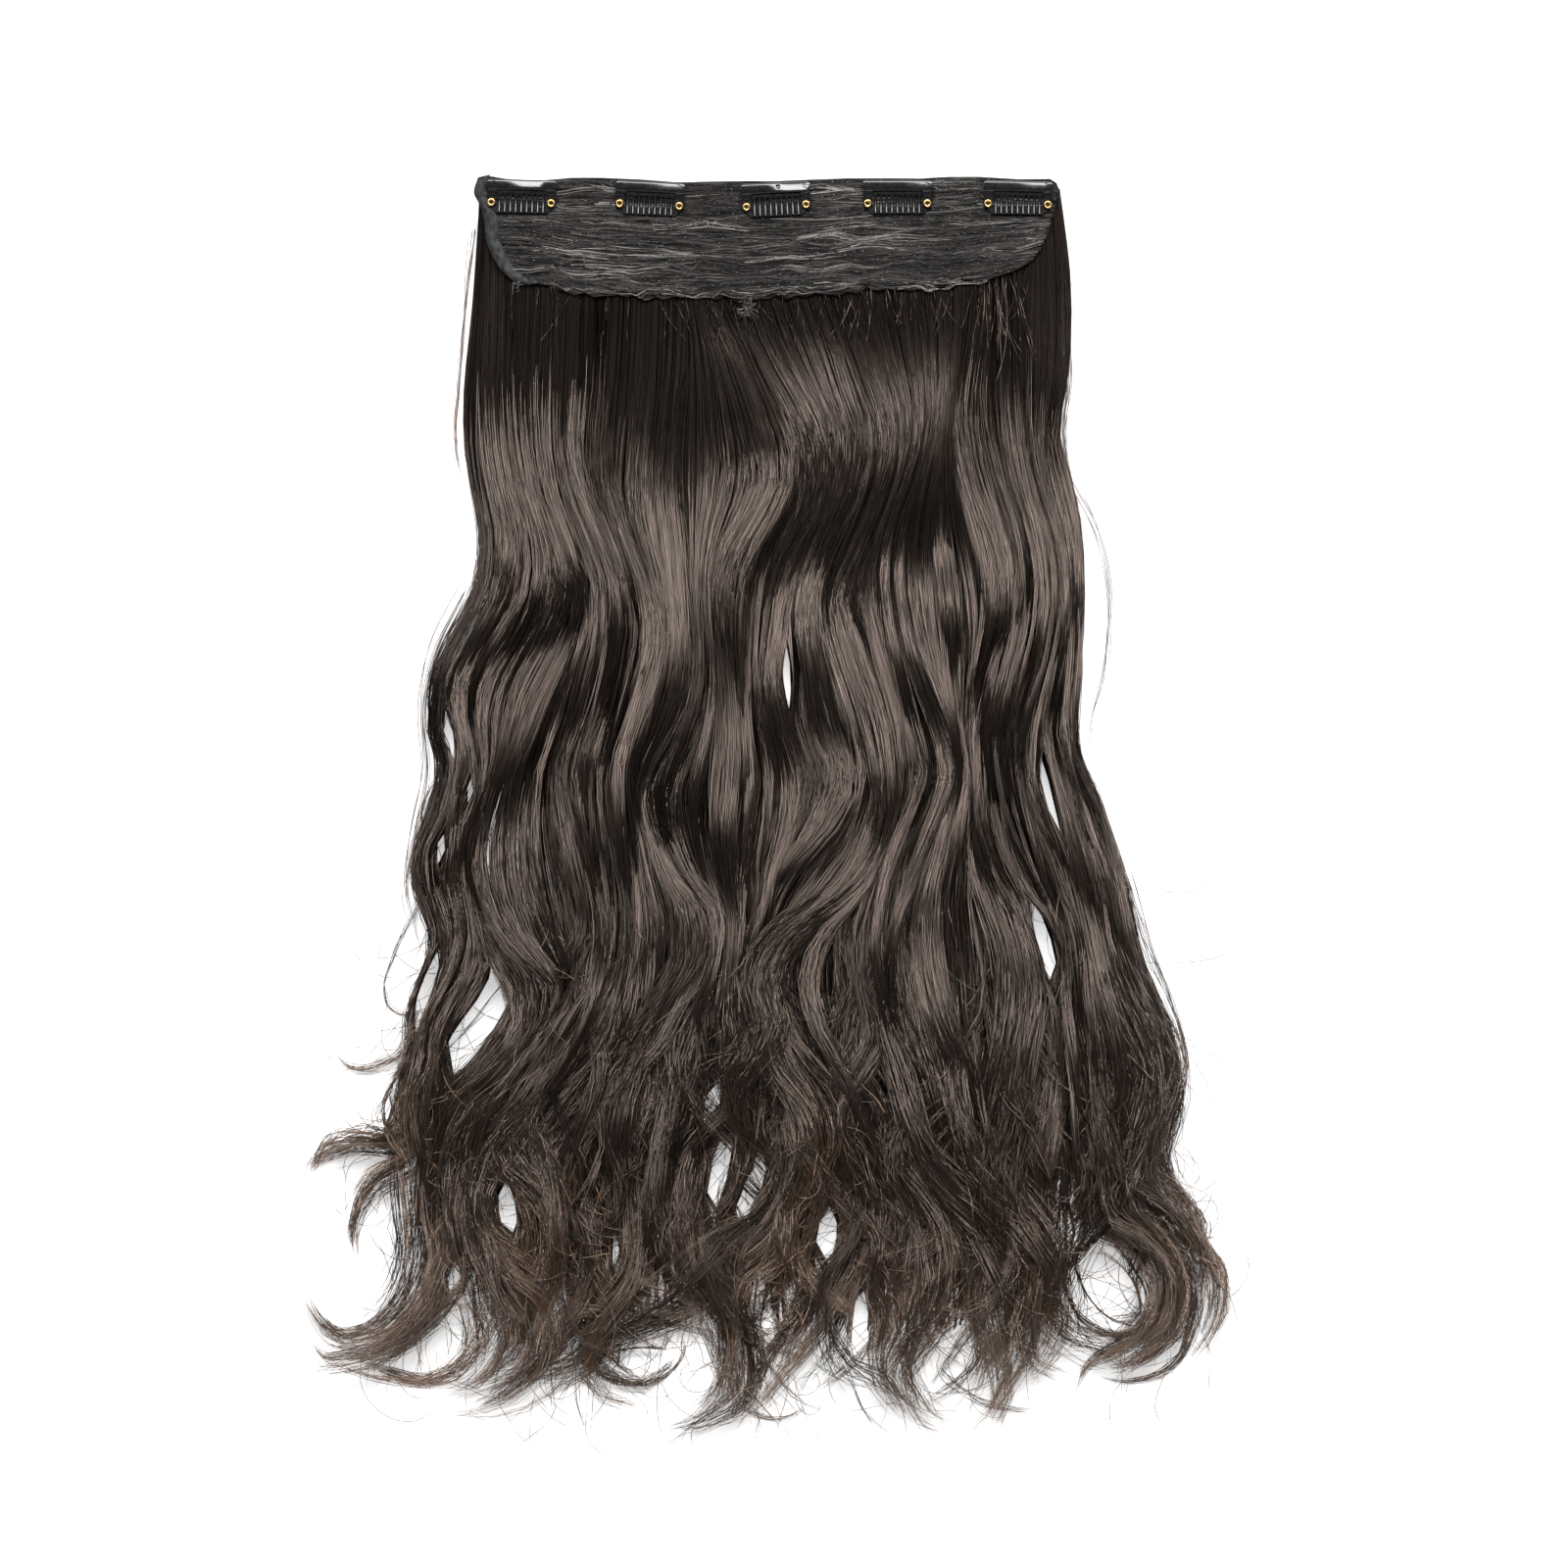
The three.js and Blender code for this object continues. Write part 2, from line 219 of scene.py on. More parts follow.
# By guide: the first and the second wave's share of their full height, and where the first, the second
# and the later waves crest between two valleys.
CREST_ROWS = (
    (0, 1, 0.75, 0.72, 0.72, 0.6),
    (2, 1, 0.75, 0.82, 0.72, 0.46),
    (4, 1, 0.75, 0.82, 0.68, 0.46),
    (5, 1, 0.75, 0.82, 0.66, 0.78),
    (6, 0.85, 0.75, 0.68, 0.5, 0.78),
    (7.3, 0.85, 0.75, 0.68, 0.5, 0.78),
    (7.7, 0.42, 0.8, 0.34, 0.66, 0.76),
    (9.3, 0.42, 0.8, 0.34, 0.66, 0.76),
    (10, 0.42, 0.8, 0.34, 0.66, 0.52),
    (13.3, 0.42, 0.8, 0.34, 0.66, 0.52),
    (13.7, 1, 0.75, 0.85, 0.74, 0.42),
    (17, 1, 0.75, 0.85, 0.74, 0.42),
)

# How far single strands and whole wisps ripple up and down, in mm, by photo y.
RIPPLE_ROWS = ((430, 0.06), (540, 0.9), (1400, 0.9))
WISP_RIPPLE_ROWS = ((380, 0), (520, 0.8), (700, 1.8), (1000, 2.8), (1400, 2.8))

# Broad strands on the floor, which close the hair's back: the guides that they span, where they end, by
# guide, how much that varies, how far they drift aside, by photo y, and how much their height varies, in
# mm.
BACKING_STRANDS = 560
BACKING_POINTS = 40
BACKING_WIDTH = 2.6 * MM
BACKING_TWIST = 0.1
BACKING_GUIDES = (0.45, 16.55)
BACKING_LAST_Y = (
    (0, 1150), (2, 1190), (4, 1322), (8, 1342), (12, 1347), (14, 1280), (15.7, 1240), (17, 1130),
)
BACKING_SPREAD = (-50, 20)
BACKING_DRIFT_ROWS = ((700, 2), (1100, 6), (1300, 16))
BACKING_RISE = (0, 0.5)

# Short broad strands under the band, which carry it: layers, points on each, where they run and how
# uneven they start, in photo pixels, the guides that they span, and the height of their layers.
ROOT_STRANDS = 600
ROOT_LAYERS = 6
ROOT_POINTS = 6
ROOT_Y = (188, 262)
ROOT_UNEVEN = 1.2
ROOT_GUIDES = (1.3, 15.2)
ROOT_STACK = 3.4 * MM

# Fine loose hairs: their rise and start above the strand that they leave, and the spread of their
# direction.
CURL_RISE = 2 * MM
CURL_START = 0.5 * MM
CURL_SPREAD = 0.35

# Frizz: how many hairs, points on each, shortest and longest in mm, where along a strand it may start,
# and how strongly it curls.
FRIZZ_ROWS = (
    (700, 16, (15, 50), 0.55, 24),
    (700, 16, (20, 60), 0.82, 60),
)

# Fuzz over the band's lower edge: count, photo x, how far above the edge it starts, spread of its
# direction, length in mm, how strongly it curls, points on each hair, and height.
FUZZ_HAIRS = 80
FUZZ_X = (505, 1055)
FUZZ_START = (0, 5)
FUZZ_SPREAD = 0.22
FUZZ_LENGTH = (6, 24)
FUZZ_BEND = 18
FUZZ_POINTS = 10
FUZZ_HEIGHT = 6.6 * MM

# Tufts: height, middle and spread of their direction, and the curl from which they head all ways.
TUFT_HEIGHT = 7.2 * MM
TUFT_HEADING = (0.06, 0.1)
TUFT_STRONG = 100

# Strays: points on each, range of length and of height, what is left of their distance and of their
# height at the tip, and how far they wander, in photo pixels.
STRAY_POINTS = 32
STRAY_LENGTH = (0.8, 1.0)
STRAY_HEIGHT = (0.3, 1.2)
STRAY_CLOSE = 0.2
STRAY_LOW = 0.4
STRAY_WANDER = 1.6

# Fine hairs' shades, from and up to a colour class, and where their colour starts along a strand.
FRIZZ_LOOK = ((20, COLOUR_CLASSES), 0.78)
STRAY_LOOK = ((0, COLOUR_CLASSES - 16), 0.8)
FUZZ_LOOK = ((0, COLOUR_CLASSES - 20), 0.15)

# Guides that the hair follows, left to right: y of the waves' valleys, then the points, in photo pixels.
GUIDES = (
    ((462, 700, 940, 1200), (
        (488, 190), (481, 300), (471, 420), (472, 460), (480, 510), (486, 550), (480, 600), (455, 650),
        (440, 690), (438, 730), (447, 790), (437, 825), (423, 870), (421, 900), (432, 932), (443, 960),
        (432, 1010), (415, 1060), (400, 1110), (385, 1150),
    )),
    ((452, 700, 940, 1240), (
        (505, 190), (505, 300), (503, 400), (506, 450), (515, 500), (528, 540), (530, 575), (520, 620),
        (500, 655), (482, 690), (478, 730), (490, 780), (478, 830), (465, 880), (475, 930), (470, 980),
        (450, 1030), (435, 1080), (425, 1150),
    )),
    ((446, 720, 960, 1290), (
        (548, 190), (548, 300), (545, 400), (548, 450), (556, 500), (573, 550), (585, 590), (580, 630),
        (560, 670), (540, 710), (525, 760), (502, 820), (490, 867), (493, 907), (503, 937), (527, 970),
        (550, 990), (563, 1010), (557, 1037), (533, 1062), (500, 1105), (470, 1160),
    )),
    ((440, 745, 960, 1290), (
        (575, 190), (575, 300), (570, 400), (570, 450), (578, 500), (598, 550), (612, 590), (615, 640),
        (608, 690), (598, 730), (580, 783), (587, 827), (597, 867), (608, 915), (612, 955), (603, 1000),
        (575, 1050), (530, 1105), (490, 1160),
    )),
    ((428, 775, 980, 1270), (
        (600, 190), (600, 300), (597, 400), (592, 450), (600, 500), (622, 550), (638, 595), (643, 640),
        (637, 690), (625, 740), (613, 790), (615, 840), (622, 890), (628, 930), (625, 970), (610, 1010),
        (590, 1055), (545, 1110), (507, 1150),
    )),
    ((452, 790, 1000, 1190), (
        (648, 190), (648, 300), (645, 380), (640, 450), (637, 500), (652, 563), (663, 593), (671, 625),
        (672, 660), (655, 720), (640, 780), (645, 840), (650, 900), (655, 960), (650, 1020), (635, 1080),
        (605, 1130), (580, 1160),
    )),
    ((478, 790, 1040, 1190), (
        (700, 190), (700, 300), (695, 400), (690, 450), (690, 500), (698, 550), (703, 600), (708, 650),
        (705, 700), (690, 740), (665, 780), (654, 810), (660, 840), (677, 873), (692, 897), (715, 920),
        (725, 950), (722, 983), (703, 1020), (680, 1070), (665, 1120), (655, 1180),
    )),
    ((478, 785, 1000, 1200), (
        (712, 190), (715, 305), (735, 340), (755, 390), (772, 440), (780, 480), (765, 520), (748, 548),
        (737, 585), (735, 640), (740, 690), (742, 740), (740, 790), (735, 840), (738, 890), (745, 940),
        (742, 990), (735, 1040), (738, 1090), (722, 1140), (712, 1165),
    )),
    ((374, 600, 830, 1050), (
        (765, 190), (770, 305), (787, 355), (812, 400), (833, 440), (838, 480), (828, 530), (808, 565),
        (796, 600), (790, 650), (785, 700), (790, 750), (800, 790), (798, 830), (785, 880), (775, 930),
        (762, 980), (765, 1020), (785, 1055), (805, 1100), (800, 1150),
    )),
    ((376, 602, 840, 1050), (
        (822, 190), (825, 305), (842, 350), (858, 400), (874, 445), (872, 480), (858, 520), (840, 560),
        (828, 600), (823, 640), (832, 690), (850, 760), (863, 790), (857, 820), (837, 853), (803, 893),
        (780, 950), (768, 993), (775, 1022), (790, 1060), (823, 1110), (858, 1160),
    )),
    ((376, 598, 880, 1270), (
        (868, 190), (870, 305), (885, 350), (905, 400), (915, 445), (908, 490), (895, 530), (878, 565),
        (862, 600), (873, 647), (885, 680), (905, 743), (908, 787), (905, 850), (890, 887), (853, 923),
        (806, 960), (790, 1000), (800, 1040), (830, 1090), (850, 1130), (875, 1165),
    )),
    ((376, 596, 875, 1270), (
        (915, 190), (915, 305), (925, 360), (935, 420), (930, 470), (912, 520), (900, 560), (897, 600),
        (903, 650), (912, 700), (925, 760), (930, 793), (920, 827), (903, 873), (895, 920), (890, 960),
        (895, 1010), (905, 1060), (933, 1147),
    )),
    ((376, 592, 875, 1280), (
        (955, 190), (955, 305), (958, 360), (955, 420), (945, 470), (930, 520), (922, 570), (925, 620),
        (938, 670), (952, 705), (967, 747), (977, 787), (967, 820), (950, 860), (933, 900), (917, 943),
        (915, 990), (925, 1040), (945, 1090), (965, 1150),
    )),
    ((382, 590, 880, 1280), (
        (972, 190), (972, 305), (971, 400), (966, 450), (966, 500), (970, 550), (976, 600), (980, 650),
        (980, 700), (984, 750), (990, 790), (985, 830), (980, 870), (978, 920), (985, 970), (990, 1020),
        (995, 1070), (1003, 1120), (1015, 1170),
    )),
    ((412, 735, 960, 1290), (
        (990, 190), (990, 305), (985, 360), (978, 410), (983, 455), (997, 505), (1013, 550), (1020, 590),
        (1015, 640), (1000, 690), (992, 743), (1000, 803), (1005, 847), (1020, 887), (1044, 927),
        (1058, 960), (1061, 1000), (1055, 1050), (1047, 1110), (1042, 1160),
    )),
    ((420, 745, 980, 1300), (
        (1040, 190), (1040, 305), (1042, 380), (1045, 440), (1053, 490), (1065, 535), (1073, 590),
        (1070, 640), (1058, 690), (1045, 730), (1040, 770), (1045, 810), (1058, 850), (1072, 890),
        (1085, 940), (1092, 1000), (1100, 1060), (1107, 1130), (1110, 1170),
    )),
    ((445, 755, 990, 1290), (
        (1068, 190), (1070, 305), (1067, 400), (1062, 450), (1070, 500), (1083, 545), (1089, 600),
        (1087, 650), (1080, 700), (1074, 740), (1076, 780), (1090, 830), (1106, 880), (1120, 940),
        (1130, 1000), (1145, 1060), (1155, 1120), (1158, 1170),
    )),
    ((455, 760, 990, 1280), (
        (1082, 190), (1093, 280), (1094, 330), (1088, 400), (1080, 440), (1090, 480), (1101, 530),
        (1105, 600), (1104, 650), (1101, 700), (1098, 740), (1104, 775), (1118, 800), (1135, 850),
        (1150, 900), (1156, 935), (1167, 980), (1185, 1020), (1197, 1050), (1206, 1095), (1202, 1143),
        (1190, 1173),
    )),
)

# Locks that the lower hair gathers into: guide, share of its strands, width in pixels, lift in mm, and
# the points to the tip, in photo pixels.
TAILS = (
    (0, 0.25, 9, 3, ((415, 1060), (408, 1077), (390, 1087), (370, 1092), (350, 1087), (338, 1072))),
    (0, 0.25, 9, 1, (
        (410, 1080), (393, 1107), (385, 1137), (397, 1163), (412, 1178), (425, 1215), (430, 1260),
    )),
    (0, 0.5, 26, 1, ((422, 1065), (414, 1120), (420, 1175), (430, 1225), (433, 1275), (424, 1318))),
    (1, 0.22, 22, 3, (
        (425, 1155), (410, 1172), (383, 1168), (357, 1170), (337, 1177), (320, 1188), (315, 1199),
    )),
    (1, 0.28, 24, 2, (
        (430, 1175), (417, 1193), (397, 1200), (377, 1213), (363, 1233), (357, 1260), (360, 1283),
    )),
    (1, 0.5, 46, 0, (
        (428, 1200), (430, 1250), (425, 1290), (405, 1335), (370, 1362), (345, 1365), (325, 1350),
        (308, 1317),
    )),
    (2, 0.5, 44, 1, (
        (462, 1215), (470, 1280), (455, 1330), (425, 1362), (395, 1380), (350, 1387), (330, 1387),
        (313, 1370),
    )),
    (2, 0.5, 36, 2, (
        (466, 1200), (482, 1260), (495, 1320), (490, 1370), (467, 1403), (443, 1412), (417, 1408),
        (383, 1398), (363, 1390),
    )),
    (3, 1, 44, 4, (
        (485, 1175), (477, 1210), (487, 1270), (510, 1330), (520, 1370), (500, 1395), (467, 1407),
        (443, 1412),
    )),
    (4, 1, 44, 5, (
        (510, 1147), (485, 1180), (480, 1215), (500, 1290), (540, 1345), (540, 1385), (500, 1415),
        (460, 1430),
    )),
    (5, 1, 46, 2, (
        (600, 1133), (568, 1162), (577, 1200), (583, 1247), (587, 1293), (567, 1343), (545, 1385),
        (500, 1427), (457, 1439),
    )),
    (6, 0.55, 46, 3, (
        (640, 1110), (602, 1177), (617, 1220), (633, 1260), (627, 1310), (600, 1343), (570, 1385),
        (530, 1413), (500, 1433),
    )),
    (6, 0.45, 40, 1, (
        (665, 1120), (655, 1180), (660, 1240), (655, 1300), (625, 1350), (605, 1380), (615, 1397),
        (640, 1412), (668, 1413), (695, 1390), (690, 1360),
    )),
    (7, 1, 40, 1, (
        (720, 1140), (700, 1185), (697, 1235), (712, 1290), (740, 1340), (750, 1380), (747, 1420),
        (723, 1437), (697, 1450), (667, 1455),
    )),
    (8, 0.6, 52, 5, (
        (805, 1100), (806, 1160), (795, 1215), (750, 1262), (690, 1313), (640, 1347), (600, 1378),
        (560, 1390), (510, 1397),
    )),
    (8, 0.4, 40, 1, (
        (800, 1150), (795, 1210), (765, 1270), (750, 1320), (767, 1353), (797, 1393), (823, 1423),
        (853, 1440), (890, 1437), (910, 1430),
    )),
    (9, 1, 48, 3, (
        (873, 1177), (907, 1217), (930, 1247), (935, 1300), (920, 1340), (905, 1370), (900, 1400),
        (910, 1420), (940, 1453), (967, 1458), (987, 1443), (1000, 1433),
    )),
    (10, 1, 46, 0, (
        (860, 1150), (868, 1200), (866, 1250), (850, 1310), (815, 1370), (790, 1410), (777, 1440),
        (800, 1450), (830, 1432),
    )),
    (11, 1, 46, 2, (
        (933, 1147), (967, 1190), (1000, 1220), (1017, 1260), (1010, 1310), (985, 1350), (960, 1395),
        (945, 1430),
    )),
    (12, 1, 46, 1, (
        (983, 1187), (1010, 1225), (1035, 1275), (1050, 1330), (1047, 1360), (1027, 1393), (1003, 1427),
        (990, 1463),
    )),
    (13, 1, 44, 3, ((1015, 1170), (1040, 1220), (1050, 1267), (1060, 1313), (1073, 1350), (1100, 1367))),
    (14, 1, 44, 1, ((1042, 1160), (1036, 1210), (1048, 1290), (1053, 1343), (1067, 1373), (1107, 1393))),
    (15, 0.3, 24, 4, (
        (1107, 1130), (1107, 1190), (1114, 1235), (1140, 1273), (1163, 1300), (1173, 1323), (1170, 1347),
        (1153, 1363), (1130, 1363), (1103, 1347), (1090, 1320), (1087, 1290), (1100, 1260),
    )),
    (15, 0.3, 26, 2, (
        (1110, 1150), (1117, 1200), (1133, 1240), (1167, 1267), (1193, 1300), (1198, 1327), (1187, 1357),
        (1160, 1373), (1127, 1383), (1107, 1403), (1100, 1430),
    )),
    (15, 0.4, 40, 0, (
        (1107, 1130), (1120, 1190), (1160, 1227), (1200, 1260), (1220, 1293), (1223, 1327), (1217, 1360),
        (1207, 1387), (1183, 1407), (1153, 1413), (1120, 1407),
    )),
    (16, 0.5, 40, 2, (
        (1156, 1130), (1163, 1195), (1190, 1250), (1208, 1300), (1205, 1350), (1180, 1393), (1140, 1412),
    )),
    (16, 0.5, 40, 0, (
        (1150, 1090), (1140, 1160), (1120, 1215), (1130, 1255), (1160, 1290), (1182, 1325), (1178, 1360),
        (1150, 1385), (1115, 1395),
    )),
    (17, 0.6, 34, 1, (
        (1196, 1120), (1180, 1180), (1190, 1225), (1212, 1262), (1232, 1293), (1234, 1327), (1226, 1360),
        (1210, 1390),
    )),
    (17, 0.4, 14, 3, (
        (1202, 1143), (1190, 1173), (1190, 1190), (1203, 1210), (1223, 1237), (1230, 1267), (1250, 1293),
        (1252, 1327), (1243, 1360), (1217, 1397),
    )),
)

# Partings where the floor shows through: the two ends of the opening and its half width, in photo pixels.
PARTINGS = (
    ((801, 655), (806, 722), 6),
    ((1060, 762), (1082, 855), 6),
    ((452, 728), (463, 772), 6),
    ((474, 785), (482, 825), 5),
    ((446, 845), (452, 892), 6),
    ((1052, 920), (1082, 1010), 9),
    ((452, 965), (425, 1065), 8),
    ((522, 1005), (450, 1085), 17),
    ((742, 1105), (712, 1145), 10),
    ((748, 1150), (725, 1240), 12),
    ((788, 1175), (747, 1248), 9),
    ((512, 1200), (522, 1265), 11),
    ((458, 1283), (470, 1323), 8),
    ((628, 1258), (626, 1298), 5),
    ((850, 1228), (838, 1292), 12),
    ((880, 1315), (876, 1392), 9),
    ((620, 1385), (692, 1385), 9),
    ((1102, 1272), (1158, 1348), 24),
)

# Reach of a parting to either side, in half widths.
PARTING_REACH = 5

# Stray strands and thin locks: how many run together, how far apart they start, in photo pixels, their
# height in mm, and the points that they follow, in photo pixels.
STRAYS = (
    (16, 4, 4, ((430, 1035), (415, 1066), (392, 1084), (365, 1092), (348, 1086), (338, 1072))),
    (36, 9, 4, ((430, 1140), (405, 1166), (357, 1170), (337, 1177), (320, 1188), (314, 1203))),
    (36, 9, 4, ((432, 1170), (407, 1192), (382, 1207), (366, 1232), (358, 1262), (361, 1287))),
    (60, 15, 3, (
        (428, 1200), (430, 1250), (426, 1290), (406, 1335), (370, 1362), (345, 1365), (325, 1350),
        (308, 1317),
    )),
    (18, 6, 2, ((430, 1350), (395, 1378), (350, 1385), (330, 1387), (313, 1370))),
    (30, 9, 3, ((478, 1330), (482, 1375), (462, 1402), (430, 1410), (395, 1402), (363, 1390))),
    (3, 3, 2, ((545, 1350), (556, 1385), (560, 1413), (563, 1447))),
    (3, 3, 2, ((575, 1350), (583, 1390), (590, 1437), (598, 1465))),
    (8, 3, 2, (
        (590, 1340), (600, 1375), (610, 1390), (630, 1407), (653, 1417), (680, 1407), (697, 1380),
        (690, 1360),
    )),
    (8, 3, 2, ((738, 1350), (745, 1400), (753, 1433), (777, 1448), (800, 1450), (830, 1432))),
    (3, 3, 2, ((860, 1390), (887, 1447), (903, 1463), (927, 1465))),
    (6, 3, 2, ((960, 1400), (1000, 1432), (1040, 1442), (1070, 1443))),
    (8, 4, 2, ((1045, 1220), (1050, 1267), (1060, 1313), (1073, 1350), (1100, 1367))),
    (14, 3, 3, (
        (1100, 1210), (1130, 1258), (1160, 1295), (1173, 1323), (1170, 1347), (1153, 1363), (1130, 1363),
        (1103, 1347), (1090, 1320), (1087, 1290), (1100, 1260),
    )),
    (16, 5, 2, ((1195, 1330), (1186, 1357), (1160, 1373), (1127, 1383), (1107, 1403), (1100, 1430))),
    (20, 5, 2, ((1222, 1327), (1217, 1360), (1205, 1387), (1183, 1405), (1153, 1412), (1120, 1406))),
    (4, 2.5, 6, ((745, 1120), (740, 1170), (723, 1193), (715, 1223), (712, 1260))),
    (4, 2.5, 6, ((790, 1120), (780, 1163), (757, 1183), (737, 1207), (733, 1223), (738, 1270))),
    (3, 2.5, 3, ((540, 970), (508, 1007), (480, 1045), (447, 1080), (430, 1110))),
    (6, 2.5, 2, (
        (1183, 1180), (1203, 1210), (1223, 1237), (1230, 1267), (1250, 1293), (1252, 1327), (1243, 1360),
        (1217, 1397),
    )),
    (5, 2.5, 2, (
        (1080, 450), (1095, 490), (1120, 540), (1133, 600), (1132, 650), (1127, 690), (1117, 730),
        (1112, 775),
    )),
    (5, 2.5, 3, (
        (440, 890), (425, 923), (400, 977), (390, 1010), (395, 1028), (410, 1036), (433, 1030),
        (450, 1020),
    )),
    (8, 2.5, 2, ((484, 230), (476, 300), (466, 400), (463, 440), (468, 480), (480, 520))),
    (8, 4, 2, ((470, 600), (440, 660), (428, 720), (432, 790), (420, 850), (412, 910), (425, 960))),
    (8, 4, 3, ((455, 660), (437, 715), (455, 770), (430, 830), (445, 890), (420, 940), (440, 990))),
    (6, 3, 2, ((1150, 890), (1170, 960), (1196, 1020), (1212, 1080), (1208, 1140))),
    (8, 3, 2, ((1092, 330), (1091, 390), (1087, 430), (1090, 465), (1100, 510), (1107, 560))),
)

# Tufts of hair and of pale lint at the band's lower edge: middle and radius in photo pixels, how many
# hairs, the longest in mm, and how strongly they curl.
TUFTS = (
    (1022, 283, 9, 22, 36, 6),
    (880, 296, 14, 9, 18, 18),
)
LINT = (
    (763, 314, 3, 45, 4.5, 420),
    (527, 290, 2, 18, 3, 300),
)

# The band's edges, in photo pixels: along its top and its bottom as x and y, and down its left and right
# ends as y and x. Then its width, and the drop in photo pixels over which its ends run.
BAND_TOP = (
    (484, 180), (500, 178.5), (515, 181), (550, 183), (582, 180), (615, 180), (655, 182), (690, 184.5),
    (740, 183.5), (790, 183.5), (865, 180.5), (938, 180.5), (970, 179), (1000, 179), (1041, 181.5),
    (1082, 181),
)
BAND_BOTTOM = (
    (484, 287), (540, 290), (562, 290), (578, 298), (607, 301), (680, 303), (765, 305), (800, 303),
    (843, 299), (898, 295), (959, 295), (999, 289), (1049, 281), (1082, 276),
)
BAND_LEFT = (
    (180, 488), (196, 484), (208, 490), (221, 494), (246, 497), (262, 504), (275, 512), (285, 524),
    (290, 540),
)
BAND_RIGHT = (
    (180, 1072), (185, 1079), (192, 1081), (219, 1076), (234, 1073), (250, 1068), (263, 1062),
    (274, 1053), (281, 1040), (287, 1010),
)
BAND_SPAN = 590 * PIXEL
BAND_DROP = 110

# The band's face: rows of tucks, points down and across its sheet, rows of the threads' shades, height
# and thickness, height of the tucks and of the fine folds on them, how far the rows wave, how early a
# tuck is highest, and how ragged its lower edge is, in photo pixels.
BAND_ROWS = 11
BAND_GRID = (60, 176)
TONE_ROWS = 34
BAND_FACE = 6.45 * MM
BAND_WALL = 1.1 * MM
RIDGE = 0.75 * MM
FINE_RIDGE = 0.1 * RIDGE
ROW_WAVE = 0.3
TUCK_POWER = 0.7
RAGGED = 1.8

# Its rim: how narrow it is across and down, and how far it turns down.
RIM_SHARPNESS = (60, 16)
RIM_DROP = 0.5 * MM

# Creases down the band: photo x, half width in photo pixels, depth in mm, and how far they slant.
CREASES = ((708, 9, 0.8), (948, 13, 1.0))
CREASE_SLANT = 12

# Flat ground under a clip: half width, middle above the eyelets, half height and soft edge in mm, and its
# height.
PAD_HALF_WIDTH = 15
PAD_MIDDLE = 2.8
PAD_HALF_HEIGHT = 7.2
PAD_EDGE = 2
PAD_HEIGHT = 6.45 * MM

# Threads along the band: where they start, how far they reach, their place down it, how far each one and
# each row wanders, their height above it, and the middle, the spread and the noise of their shade.
BAND_THREADS = 1300
THREAD_POINTS = 14
THREAD_WIDTH = 0.42 * MM
THREAD_START = (-0.02, 0.98)
THREAD_REACH = (0.03, 0.2)
THREAD_LEVEL = (0.03, 0.985)
THREAD_WANDER = 0.006
THREAD_SWAY = 0.02
THREAD_LIFT = 0.12 * MM
THREAD_TONE = 0.5
THREAD_TONE_SPREAD = 0.36
THREAD_TONE_NOISE = 0.1
LIGHTEST_TONE = 0.98

# Limits of the places across and down the band that threads and stitches may take.
ACROSS_LIMITS = (0.004, 0.996)
DOWN_LIMITS = (0.01, 0.99)

# Stitches: lines of them, pitch, length and width, share that shows, how far a line and a stitch wander,
# height of a stitch's ends and middle in mm, and the darkest shade and what may be added to it.
SEAM_LINES = 24
SEAM_RANGE = (0.03, 0.97)
SEAM_ACROSS = (0.005, 0.99)
SEAM_WANDER = 0.008
STITCH_PITCH = 1.25 * MM
STITCH_LENGTH = 0.8 * MM
STITCH_WIDTH = 0.3 * MM
STITCH_SHARE = 0.62
STITCH_WANDER = 0.003
STITCH_RISE = (0.05, 0.28, 0.05)
# The stitches are pale thread, and their light tone also paints the net's glints.
STITCH_TONE = (0.62, 0.36)
LINT_TONE = (0.6, 0.9)

# The folded left edge: width, overhang and slant in photo pixels, points across it, thickness, and its
# height in tucks: at its rim, of its hump and of the folds on it.
HEM_WIDTH = 13
HEM_OVERHANG = 1
HEM_SLANT = 3
HEM_COLUMNS = 9
HEM_WALL = 0.5 * MM
HEM_HEIGHTS = (0.75, 0.6, 0.35)
CLOTH_EDGE = 0.1 * MM

# Clips, in mm: the middle of each one's eyelet line, its tilt in degrees, the height of its teeth's
# points, and the stretch of its bar that is twisted back, with the twist in degrees.
CLIP_ROWS = (
    (-106, 14.1, -1.2, 2.1, -4, 9, 9),
    (-51, 13.2, -2.6, 1.9, 2, 15, 5),
    (3.4, 12.8, 2.6, 2.5, 0, 14, 14),
    (55.4, 13.8, 0, 1.9, 7, 15, 5),
    (107, 13.5, -1.3, 2.1, 1, 13, 5),
)

# Sizes of a clip, in mm from its eyelet line: how softly the twist starts and ends and the line that it
# turns about, the floor under its sheet, its arms, bar and window, and its teeth.
TWIST_EDGES = (6, 2)
TWIST_Y = 7.4
CLIP_FLOOR = 6.9
CLIP_SHEET = 0.45 * MM
PRESSING_EDGE = 0.12 * MM
EYELET_X = 12.8
CLIP_ARM = 4
ARM_END = 1.98
BAR_TOP = 9.9
BAR_CORNER = 1.2
BAR_BOW = 0.4
BAR_BLEND = (4.5, 6)
WINDOW_TOP = 5.2
TEETH = 9
TOOTH_PITCH = 2.35
TOOTH_WIDTH = 1.4
TOOTH_CROWN = 0.4
TOOTH_ROOT = 4.9
TOOTH_EDGE = 0.08 * MM
SLOT_TOP = 3.9
TOOTH_TIP = -4.2

# A dimple in one bar: the clip's number, then x, y, radius and depth in mm.
DIMPLE = (3, 1.2, 8.0, 0.8, 0.3)

